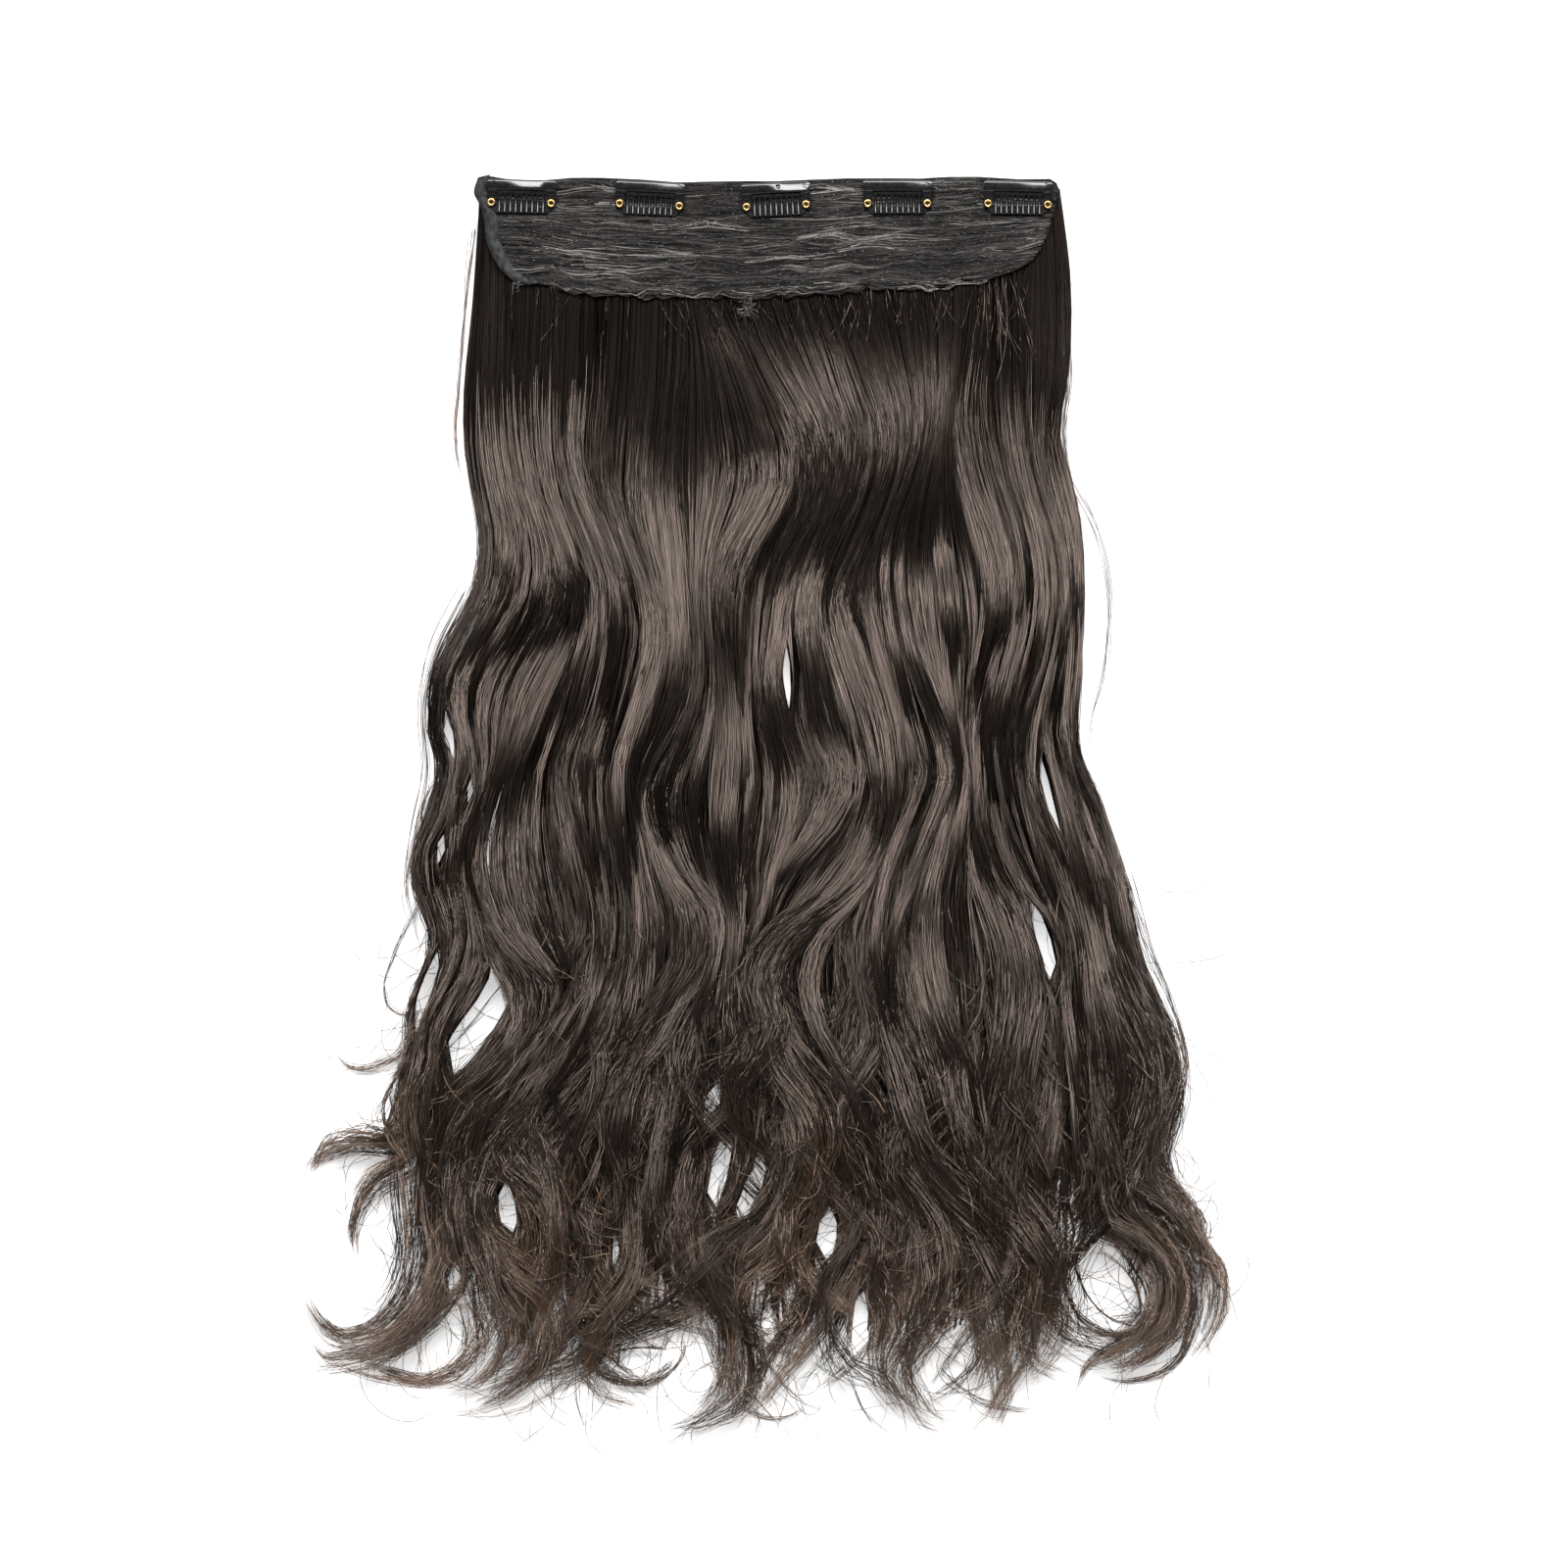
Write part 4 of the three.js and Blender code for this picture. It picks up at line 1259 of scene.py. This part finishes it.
def backing_lines():
    """Broad strands side by side on the floor, which close the hair's back."""
    u = np.linspace(*BACKING_GUIDES, BACKING_STRANDS)
    last = value_at(BACKING_LAST_Y, u) + RANDOM.uniform(*BACKING_SPREAD, len(u))
    y = INNER_ROOT_Y + (last - INNER_ROOT_Y)[:, None] * np.linspace(0, 1, BACKING_POINTS)
    drift = value_at(BACKING_DRIFT_ROWS, y) * wander(len(u), BACKING_POINTS, 2, 3)
    x = flow_x(u[:, None], y) + drift
    xy = open_partings(np.stack((x, y), axis=-1))
    z = FLOOR_GAP + RANDOM.uniform(*BACKING_RISE, (len(u), 1)) * MM + np.zeros_like(x)
    return to_row(np.dstack((xy, z)))


def root_lines():
    """Short broad strands under the band, in even layers."""
    u = np.linspace(*ROOT_GUIDES, ROOT_STRANDS)[:, None]
    uneven = RANDOM.uniform(-ROOT_UNEVEN, ROOT_UNEVEN, (ROOT_STRANDS, 1))
    y = np.linspace(*ROOT_Y, ROOT_POINTS) + uneven
    x = flow_x(np.broadcast_to(u, y.shape), y)
    layer = np.arange(ROOT_STRANDS)[:, None] % ROOT_LAYERS
    z = FLOOR_GAP + ROOT_STACK * layer / (ROOT_LAYERS - 1) + np.zeros_like(y)
    return to_row(np.stack((x, y, z), axis=-1))


def sample(path, places):
    """Points at the given places, counted in points, along a path."""
    return np.stack([np.interp(places, np.arange(len(path)), path[:, k]) for k in (0, 1)], axis=-1)


def stray_lines():
    """Single strands along the traced strays, each a little apart from its neighbours."""
    lines = []
    closer = np.linspace(1, STRAY_CLOSE, STRAY_POINTS)[:, None]
    lower = np.linspace(1, STRAY_LOW, STRAY_POINTS)
    for count, apart, height, points in STRAYS:
        path = spline(points, 2.0)
        path = sample(path, np.linspace(0, len(path) - 1, STRAY_POINTS))
        for _ in range(count):
            end = int(STRAY_POINTS * RANDOM.uniform(*STRAY_LENGTH))
            own = sample(path, np.linspace(0, end - 1, STRAY_POINTS))
            own = own + apart * RANDOM.normal(0, 1, 2) * closer
            own = own + STRAY_WANDER * wander(2, STRAY_POINTS, 2, 2).T
            z = height * MM * RANDOM.uniform(*STRAY_HEIGHT) * lower
            lines.append(np.column_stack((own, FLOOR_GAP + z)))
    return to_row(np.array(lines))


def fuzz_lines():
    """Short hairs over the band's lower edge."""
    x = RANDOM.uniform(*FUZZ_X, FUZZ_HAIRS)
    y = value_at(BAND_BOTTOM, x) - RANDOM.uniform(*FUZZ_START, FUZZ_HAIRS)
    begin = to_row(np.stack((x, y, np.full(FUZZ_HAIRS, FUZZ_HEIGHT)), axis=-1))
    return curls(begin, RANDOM.normal(0, FUZZ_SPREAD, FUZZ_HAIRS), FUZZ_LENGTH, FUZZ_POINTS, FUZZ_BEND)


def tuft_lines(tufts):
    """The hairs of the given tufts, hanging down, or heading all ways where they curl strongly."""
    groups = []
    for x, y, radius, count, longest, bend in tufts:
        begin = np.column_stack((RANDOM.normal((x, y), radius, (count, 2)), np.full(count, TUFT_HEIGHT)))
        if bend < TUFT_STRONG:
            heading = RANDOM.normal(*TUFT_HEADING, count)
        else:
            heading = RANDOM.uniform(0, 2 * np.pi, count)
        groups.append(curls(to_row(begin), heading, (0.5 * longest, longest), FUZZ_POINTS, bend))
    return np.concatenate(groups)


def make_hair(fibre, under):
    """The strands, one piece for each lock of the frame, those under them in painted shade, and the loose
    hairs.
    """
    lines, root, classes, dark = grow(LONG_SET)
    lock = np.clip(((root - root.min()) / np.ptp(root) * LOCK_COUNT).astype(int), 0, LOCK_COUNT - 1)
    for k in range(LOCK_COUNT):
        mine = (lock == k) & ~dark
        piece = add_hair(f"hair_strands_{k + 1}", lines[mine], STRAND_WIDTH, classes[mine], fibre)
        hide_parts(f"hair_lock_{k + 1}")
    add_hair("hair_painted_shade", lines[dark], STRAND_WIDTH, classes[dark], under)
    ends, _, classes, dark = grow(LOWER_SET)
    add_hair("hair_ends", ends[~dark], STRAND_WIDTH, classes[~dark], fibre, LOWER_FIRST)
    add_hair("hair_painted_shade_ends", ends[dark], STRAND_WIDTH, classes[dark], under, LOWER_FIRST)
    # The backing is a dark layer of painted shade in the pockets between locks.
    add_broad("hair_backing", backing_lines(), under)
    frizz = np.concatenate([curls_from(lines, *row) for row in FRIZZ_ROWS])
    add_fine("hair_frizz", inside_box(frizz), fibre, FRIZZ_LOOK)
    add_fine("hair_strays", stray_lines(), fibre, STRAY_LOOK)
    fuzz = fuzz_lines()
    tufts = tuft_lines(TUFTS)
    add_fine("hair_fuzz", fuzz, under, FUZZ_LOOK)
    add_fine("hair_tufts", tufts, fibre, FUZZ_LOOK)


def grid_object(name, grids, material, body):
    """One smooth mesh of grids, arrays of rows by columns by three, with the edges that they share welded."""
    shape = bmesh.new()
    for grid in grids:
        corners = [[shape.verts.new(point) for point in row] for row in grid]
        for low, high in zip(corners, corners[1:]):
            for k in range(len(low) - 1):
                shape.faces.new((low[k], low[k + 1], high[k + 1], high[k]))
    bmesh.ops.remove_doubles(shape, verts=shape.verts, dist=0.01 * MM)
    for face in shape.faces:
        face.smooth = True
    mesh = bpy.data.meshes.new(name)
    shape.to_mesh(mesh)
    shape.free()
    mesh.materials.append(material)
    made = bpy.data.objects.new(name, mesh)
    bpy.context.scene.collection.objects.link(made)
    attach(made, body)
    return made


def thicken(piece, thickness, edge):
    """Gives a sheet its thickness, below its face, and rounds its edges."""
    solid = piece.modifiers.new("thickness", "SOLIDIFY")
    solid.thickness = thickness
    solid.offset = -1
    bevel = piece.modifiers.new("edge", "BEVEL")
    bevel.width = edge
    bevel.segments = 2
    bevel.limit_method = "ANGLE"
    bevel.angle_limit = math.radians(50)
    piece.modifiers.new("shading", "WEIGHTED_NORMAL")


class Band:
    """The band's face: rows of tucked net between its traced edges, at places 0 to 1 across and down it."""

    def __init__(self):
        rows, columns = BAND_ROWS + 3, BAND_GRID[1]
        self.wave = wander(rows, columns, 4, 9)
        self.depth = 0.5 + 0.5 * np.clip(0.8 * wander(rows, columns, 4, 12), -1, 1)
        self.fine = wander(rows, columns, 4, 40)
        self.ragged = wander(1, columns, 4, 30)
        tone = wander(TONE_ROWS + 2, columns, 4, 9)
        self.tone = (tone[1:-1] + 0.5 * tone[:-2] + 0.5 * tone[2:]) / 1.6

    def look_up(self, table, row, across):
        """Value of one of the band's tables in the given rows at places across."""
        place = np.clip(across, 0, 1) * (table.shape[1] - 1.001)
        k = place.astype(int)
        part = place - k
        row = np.clip(row, 0, len(table) - 1)
        return table[row, k] * (1 - part) + table[row, k + 1] * part

    def face(self, across, down):
        """Photo x and y, and the height of the band's face."""
        side_y = BAND_TOP[0][1] + down * BAND_DROP
        left = value_at(BAND_LEFT, side_y)
        right = value_at(BAND_RIGHT, side_y)
        x = left + across * (right - left)
        y = value_at(BAND_TOP, x) * (1 - down) + value_at(BAND_BOTTOM, x) * down
        y = y + RAGGED * down**6 * self.look_up(self.ragged, np.zeros(np.shape(y), int), across)
        line = down * BAND_ROWS + 1
        line = line + ROW_WAVE * self.look_up(self.wave, np.round(line).astype(int), across)
        row = np.floor(line).astype(int)
        phase = np.clip(line - row, 0, 1)
        tuck = np.sin(np.pi * phase**TUCK_POWER) * self.look_up(self.depth, row, across)
        z = BAND_FACE + RIDGE * tuck + FINE_RIDGE * self.look_up(self.fine, row, across)
        for middle, half, depth in CREASES:
            beside = (x - middle - CREASE_SLANT * (down - 0.5)) / half
            z = z - depth * MM * np.exp(-(beside**2))
        end_rim = np.minimum(across, 1 - across) * RIM_SHARPNESS[0]
        long_rim = np.minimum(down, 1 - down) * RIM_SHARPNESS[1]
        rim = np.minimum(end_rim, long_rim)
        z = z - RIM_DROP * np.clip(1 - rim, 0, 1) ** 2
        under_clip = np.zeros_like(x)
        for clip_x, clip_y, *_ in CLIP_ROWS:
            dx = np.abs((x - ORIGIN_PIXEL[0]) * PIXEL / MM - clip_x) - PAD_HALF_WIDTH
            dy = np.abs((ORIGIN_PIXEL[1] - y) * PIXEL / MM - clip_y - PAD_MIDDLE) - PAD_HALF_HEIGHT
            under_clip = np.maximum(under_clip, 1 - smoothstep(0, PAD_EDGE, np.maximum(dx, dy)))
        low = np.minimum(z, PAD_HEIGHT)
        return x, y, z * (1 - under_clip) + low * under_clip

    def points(self, across, down, lift=0.0):
        """Points of the face in the row frame, lifted by the given height."""
        x, y, z = self.face(across, down)
        return to_row(np.stack((x, y, z + lift), axis=-1))


def band_ribbons(name, lines, width, tone, material):
    """One piece of threads on the band, whose shades run from 0 to 1."""
    piece = ribbon_mesh(name, lines, width, (tone * COLOUR_CLASSES).astype(int))
    piece.data.materials.append(material)
    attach(piece, "weft")
    return piece


def make_threads(band, material):
    """The threads along the band's rows."""
    start = RANDOM.uniform(*THREAD_START, (BAND_THREADS, 1))
    reach = RANDOM.uniform(*THREAD_REACH, (BAND_THREADS, 1))
    level = RANDOM.uniform(*THREAD_LEVEL, (BAND_THREADS, 1))
    level = np.clip(level + THREAD_WANDER * wander(BAND_THREADS, THREAD_POINTS, 2, 1.5), *DOWN_LIMITS)
    place = np.clip(start + reach * np.linspace(0, 1, THREAD_POINTS), *ACROSS_LIMITS)
    sway = THREAD_SWAY * band.look_up(band.wave, (level * BAND_ROWS).astype(int), place)
    level = np.clip(level + sway, *DOWN_LIMITS)
    row = (level[:, 0] * (TONE_ROWS - 1)).astype(int)
    shade = band.look_up(band.tone, row, start[:, 0] + reach[:, 0] / 2)
    noise = RANDOM.normal(0, THREAD_TONE_NOISE, BAND_THREADS)
    tone = np.clip(THREAD_TONE + THREAD_TONE_SPREAD * shade + noise, 0, LIGHTEST_TONE)
    return band_ribbons("band_threads", band.points(place, level, THREAD_LIFT), THREAD_WIDTH, tone, material)


def make_stitches(band, material):
    """Short stitches in lines across the band, with gaps where none shows."""
    places = []
    for seam in np.linspace(*SEAM_RANGE, SEAM_LINES):
        middles = np.arange(*SEAM_ACROSS, STITCH_PITCH / BAND_SPAN)
        middles = middles[RANDOM.random(len(middles)) < STITCH_SHARE]
        count = len(middles)
        level = seam + SEAM_WANDER * wander(1, count, 4, 9)[0] + RANDOM.normal(0, STITCH_WANDER, count)
        places.append(np.stack((middles, np.clip(level, *DOWN_LIMITS)), axis=1))
    places = np.concatenate(places)
    step = np.array((-0.5, 0.0, 0.5)) * STITCH_LENGTH / BAND_SPAN
    lines = band.points(places[:, :1] + step, places[:, 1:] + 0 * step)
    lines[..., 2] += np.array(STITCH_RISE) * MM
    darkest, added = STITCH_TONE
    tone = RANDOM.random(len(lines)) ** 2 * added + darkest
    return band_ribbons("band_stitches", lines, STITCH_WIDTH, tone, material)


def make_hem(material):
    """The folded left edge."""
    side = spline([(x, y) for y, x in BAND_LEFT], 1.5)
    inward = np.linspace(0, 1, HEM_COLUMNS)
    folds = 0.5 * wander(HEM_COLUMNS, len(side), 4, 14).T
    x = side[:, :1] + HEM_WIDTH * inward - HEM_OVERHANG
    y = side[:, 1:] - HEM_SLANT * inward
    hump = np.sin(np.pi * np.clip(inward, 0.02, 1))
    rim, rise, fold = HEM_HEIGHTS
    z = BAND_FACE + RIDGE * (rim + rise * hump + fold * folds * hump)
    strip = grid_object("band_hem", [to_row(np.dstack((x, y, z)))[::-1]], material, "weft")
    thicken(strip, HEM_WALL, CLOTH_EDGE)
    return strip


def make_band(net, hem, thread):
    """The band of tucked net, the threads along its rows, its stitches, lint, and its folded left edge."""
    band = Band()
    rows, columns = BAND_GRID
    across, down = np.meshgrid(np.linspace(0, 1, columns), np.linspace(1, 0, rows))
    cloth = grid_object("band_cloth", [band.points(across, down)], net, "weft")
    thicken(cloth, BAND_WALL, CLOTH_EDGE)
    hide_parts("weft_band")
    threads = make_threads(band, thread)
    stitches = make_stitches(band, thread)
    lint = tuft_lines(LINT)
    band_ribbons("band_lint", lint, FINE_WIDTH, RANDOM.uniform(*LINT_TONE, len(lint)), thread)
    strip = make_hem(hem)


def clip_frame(number, start, end, twist):
    """The bar with an arm down each side to its eyelet, as grids in the clip's own frame, in mm."""
    half, window = EYELET_X + CLIP_ARM / 2, EYELET_X - CLIP_ARM / 2
    part = np.linspace(-1, 1, ARM_COLUMNS)
    arm = EYELET_X + CLIP_ARM / 2 * part
    columns = np.r_[-arm[::-1], np.linspace(-window, window, BAR_COLUMNS)[1:-1], arm]
    rows = np.linspace(WINDOW_TOP, BAR_TOP, BAR_POINTS)
    above = np.clip(rows - BAR_TOP + BAR_CORNER, 0, None)
    inset = BAR_CORNER - np.sqrt(BAR_CORNER**2 - above**2)
    x = columns * (1 - inset[:, None] / half)
    grids = [(x, rows[:, None] + 0 * x)]
    rows = np.r_[np.linspace(-ARM_END, 0, ARM_END_POINTS), np.linspace(0, WINDOW_TOP, ARM_POINTS)[1:]]
    reach = np.sqrt((CLIP_ARM / 2) ** 2 - np.minimum(rows, 0) ** 2)
    for side in (-1, 1):
        x = side * EYELET_X + reach[:, None] * part
        grids.append((x, rows[:, None] + 0 * x))
    profile = spline(FRAME_PROFILE, 0.1).T
    slope = math.tan(math.radians(twist))
    start_edge, end_edge = TWIST_EDGES
    made = []
    for x, y in grids:
        z = np.interp(y, *profile)
        turned = smoothstep(start - start_edge, start + start_edge, x)
        turned = turned - smoothstep(end - end_edge, end + end_edge, x)
        z = z + (BAR_BOW * (1 - (x / half) ** 2) + slope * turned * (TWIST_Y - y)) * smoothstep(*BAR_BLEND, y)
        which, dimple_x, dimple_y, radius, depth = DIMPLE
        if number == which:
            away = ((x - dimple_x) ** 2 + (y - dimple_y) ** 2) / radius**2
            z = z - depth * np.exp(-(away**2))
        made.append(np.dstack((x, y, z)))
    return made


def clip_teeth(tip_z):
    """The row of bowed, crowned teeth joined along their roots, as grids in the clip's own frame, in mm."""
    t = np.linspace(0, 1, CURVE_POINTS)[:, None]
    root, crest, tip = np.array(COMB_CURVE)
    tip[1] = tip_z
    curve = ((1 - t) ** 2 * root + 2 * t * (1 - t) * crest + t**2 * tip)[::-1].T
    radius, slot = TOOTH_WIDTH / 2, (TOOTH_PITCH - TOOTH_WIDTH) / 2
    tip_y, slot_y = TOOTH_TIP + radius, SLOT_TOP - slot
    rows = np.r_[
        tip_y - radius * np.cos(np.linspace(0.15, np.pi / 2, ROUND_POINTS)),
        np.linspace(tip_y, slot_y, TOOTH_POINTS)[1:],
        slot_y + slot * np.sin(np.linspace(0, np.pi / 2, ROUND_POINTS))[1:],
        TOOTH_ROOT,
    ]
    reach = np.sqrt(np.clip(radius**2 - np.clip(tip_y - rows, 0, None) ** 2, 0.01, None))
    flare = TOOTH_PITCH / 2 - np.sqrt(np.clip(slot**2 - (rows - slot_y) ** 2, 0, None))
    reach = np.where(rows > slot_y, flare, reach)[:, None]
    part = np.linspace(-1, 1, ARM_COLUMNS)
    crown = TOOTH_CROWN * part**2 * (1 - smoothstep(slot_y - 0.5, SLOT_TOP, rows))[:, None]
    z = np.interp(rows, *curve)[:, None] - crown
    y = rows[:, None] + 0 * z
    middles = (np.arange(TEETH) - (TEETH - 1) / 2) * TOOTH_PITCH
    return [np.dstack((middle + reach * part, y, z)) for middle in middles]


def clip_rings():
    """The two rolled eyelets, as grids in the clip's own frame, in mm."""
    turn = np.linspace(0, 2 * np.pi, EYELET_SIDES + 1)[:, None]
    r, z = np.array(EYELET_SECTION).T
    ring = np.dstack((r * np.cos(turn), r * np.sin(turn), z + 0 * turn))
    return [ring + (side * EYELET_X, 0, 0) for side in (-1, 1)]


def clip_stitches():
    """Loops of sewing thread over each end of the bar and each arm, in the clip's own frame, in mm."""
    loops = []
    t = np.linspace(0, 1, CLIP_THREAD_POINTS)
    bar_y, bar_rise = CLIP_THREAD_BAR
    for side in (-1, 1):
        for y in CLIP_THREAD_Y:
            start = RANDOM.normal(*CLIP_THREAD_START)
            end = RANDOM.normal(*CLIP_THREAD_END)
            x = side * (start + (end - start) * t)
            slant = RANDOM.normal(0, CLIP_THREAD_SLANT) * (t - 0.5)
            curve = CLIP_THREAD_CURVE * np.sin(2 * np.pi * t + y)
            z = value_at(CLIP_THREAD_ROWS, t) + bar_rise * (y > bar_y)
            loops.append(np.stack((x, y + slant + curve, z), axis=1))
    return loops


def make_clips(lacquer, satin, brass, thread):
    """The five clips: pressed frame, teeth, eyelets and the threads that hold them."""
    stitches = []
    for number, (x, y, tilt, tip_z, *twist) in enumerate(CLIP_ROWS, 1):
        cos, sin = math.cos(math.radians(tilt)), math.sin(math.radians(tilt))
        spin = np.array(((cos, sin, 0), (-sin, cos, 0), (0, 0, 1)))

        def placed(grids):
            return [(grid @ spin + (x, y, CLIP_FLOOR)) * MM for grid in grids]

        frame_grids = placed(clip_frame(number, *twist))
        pressing = grid_object(f"clip_{number}_pressing", frame_grids, lacquer, "weft")
        thicken(pressing, CLIP_SHEET, PRESSING_EDGE)
        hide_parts(f"clip_{number}_frame")
        teeth_grids = placed(clip_teeth(tip_z))
        teeth = grid_object(f"clip_{number}_teeth", teeth_grids, satin, f"comb_{number}")
        thicken(teeth, CLIP_SHEET, TOOTH_EDGE)
        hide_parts(f"clip_{number}_comb")
        rings = grid_object(f"clip_{number}_rings", placed(clip_rings()), brass, "weft")
        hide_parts(f"clip_{number}_eyelet_left", f"clip_{number}_eyelet_right")
        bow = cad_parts[f"clip_{number}_bow"]
        bow.data.materials.clear()
        bow.data.materials.append(lacquer)
        stitches.extend(placed(clip_stitches()))
    lines = np.array(stitches)
    loops = ribbon_mesh("clip_threads", lines, CLIP_THREAD_WIDTH, np.full(len(lines), COLOUR_CLASSES // 4))
    loops.data.materials.append(thread)
    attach(loops, "weft")


def link(name, data, place):
    """A new object in the scene at the given place."""
    made = bpy.data.objects.new(name, data)
    made.location = place
    bpy.context.scene.collection.objects.link(made)
    return made


def make_stage():
    """Pale floor, soft studio light and the camera over the hair."""
    bpy.ops.mesh.primitive_plane_add(size=FLOOR_SIDE)
    floor = bpy.context.object
    floor.name = "floor"
    paper, _, shader = principled("floor_paper")
    shader.inputs["Base Color"].default_value = (0.9, 0.9, 0.9, 1)
    shader.inputs["Roughness"].default_value = 0.9
    shader.inputs["Specular IOR Level"].default_value = 0.1
    shader.inputs["Emission Color"].default_value = (1, 1, 1, 1)
    shader.inputs["Emission Strength"].default_value = 0.5
    floor.data.materials.append(paper)

    world = bpy.data.worlds.new("studio")
    bpy.context.scene.world = world
    world.use_nodes = True
    tree = world.node_tree
    backdrop = tree.nodes["Background"]
    rays = add_node(tree, "ShaderNodeLightPath")
    seen = add_node(tree, "ShaderNodeMapRange",
                    i0=rays.outputs["Is Camera Ray"], i3=WORLD_LIGHT, i4=WORLD_SEEN)
    tree.links.new(seen.outputs[0], backdrop.inputs["Strength"])
    backdrop.inputs["Color"].default_value = (1, 1, 1, 1)

    for name, place, size, power in LAMPS:
        light = bpy.data.lights.new(name, "AREA")
        light.shape = "RECTANGLE"
        light.size, light.size_y = size
        light.energy = power
        follow = link(name, light, place).constraints.new("TRACK_TO")
        follow.target = link(f"{name}_aim", None, LAMP_TARGET)
        follow.track_axis = "TRACK_NEGATIVE_Z"
        follow.up_axis = "UP_Y"

    camera = bpy.data.cameras.new("camera")
    camera.lens, camera.sensor_width = CAMERA_LENS, CAMERA_SENSOR
    bpy.context.scene.camera = link("camera", camera, (
        (PHOTO_SIDE / 2 - ORIGIN_PIXEL[0]) * PIXEL,
        (ORIGIN_PIXEL[1] - PHOTO_SIDE / 2) * PIXEL,
        PHOTO_SIDE * PIXEL * CAMERA_LENS / CAMERA_SENSOR + SCALE_HEIGHT,
    ))
    bpy.context.scene.view_settings.view_transform = "Standard"


make_stage()
fibre = hair_material("hair_fibre", shade=1.0, gloss=0.85)
# A darker, duller copy of the fibre that paints shade on strands under others, under the band and at its
# edge.
under = hair_material("hair_painted_shade_fibre", shade=0.5, gloss=0.4)
make_hair(fibre, under)
thread = thread_material()
make_band(band_material(), hem_material(), thread)
lacquer = lacquer_material("clip_lacquer", smooth=0.14, dull=0.24, coat=0.5)
satin = lacquer_material("comb_lacquer", smooth=0.2, dull=0.3, coat=0.2)
make_clips(lacquer, satin, brass_material(), thread)
# The roots under the band take the darker copy, as painted shade under it.
add_broad("hair_roots", root_lines(), under)
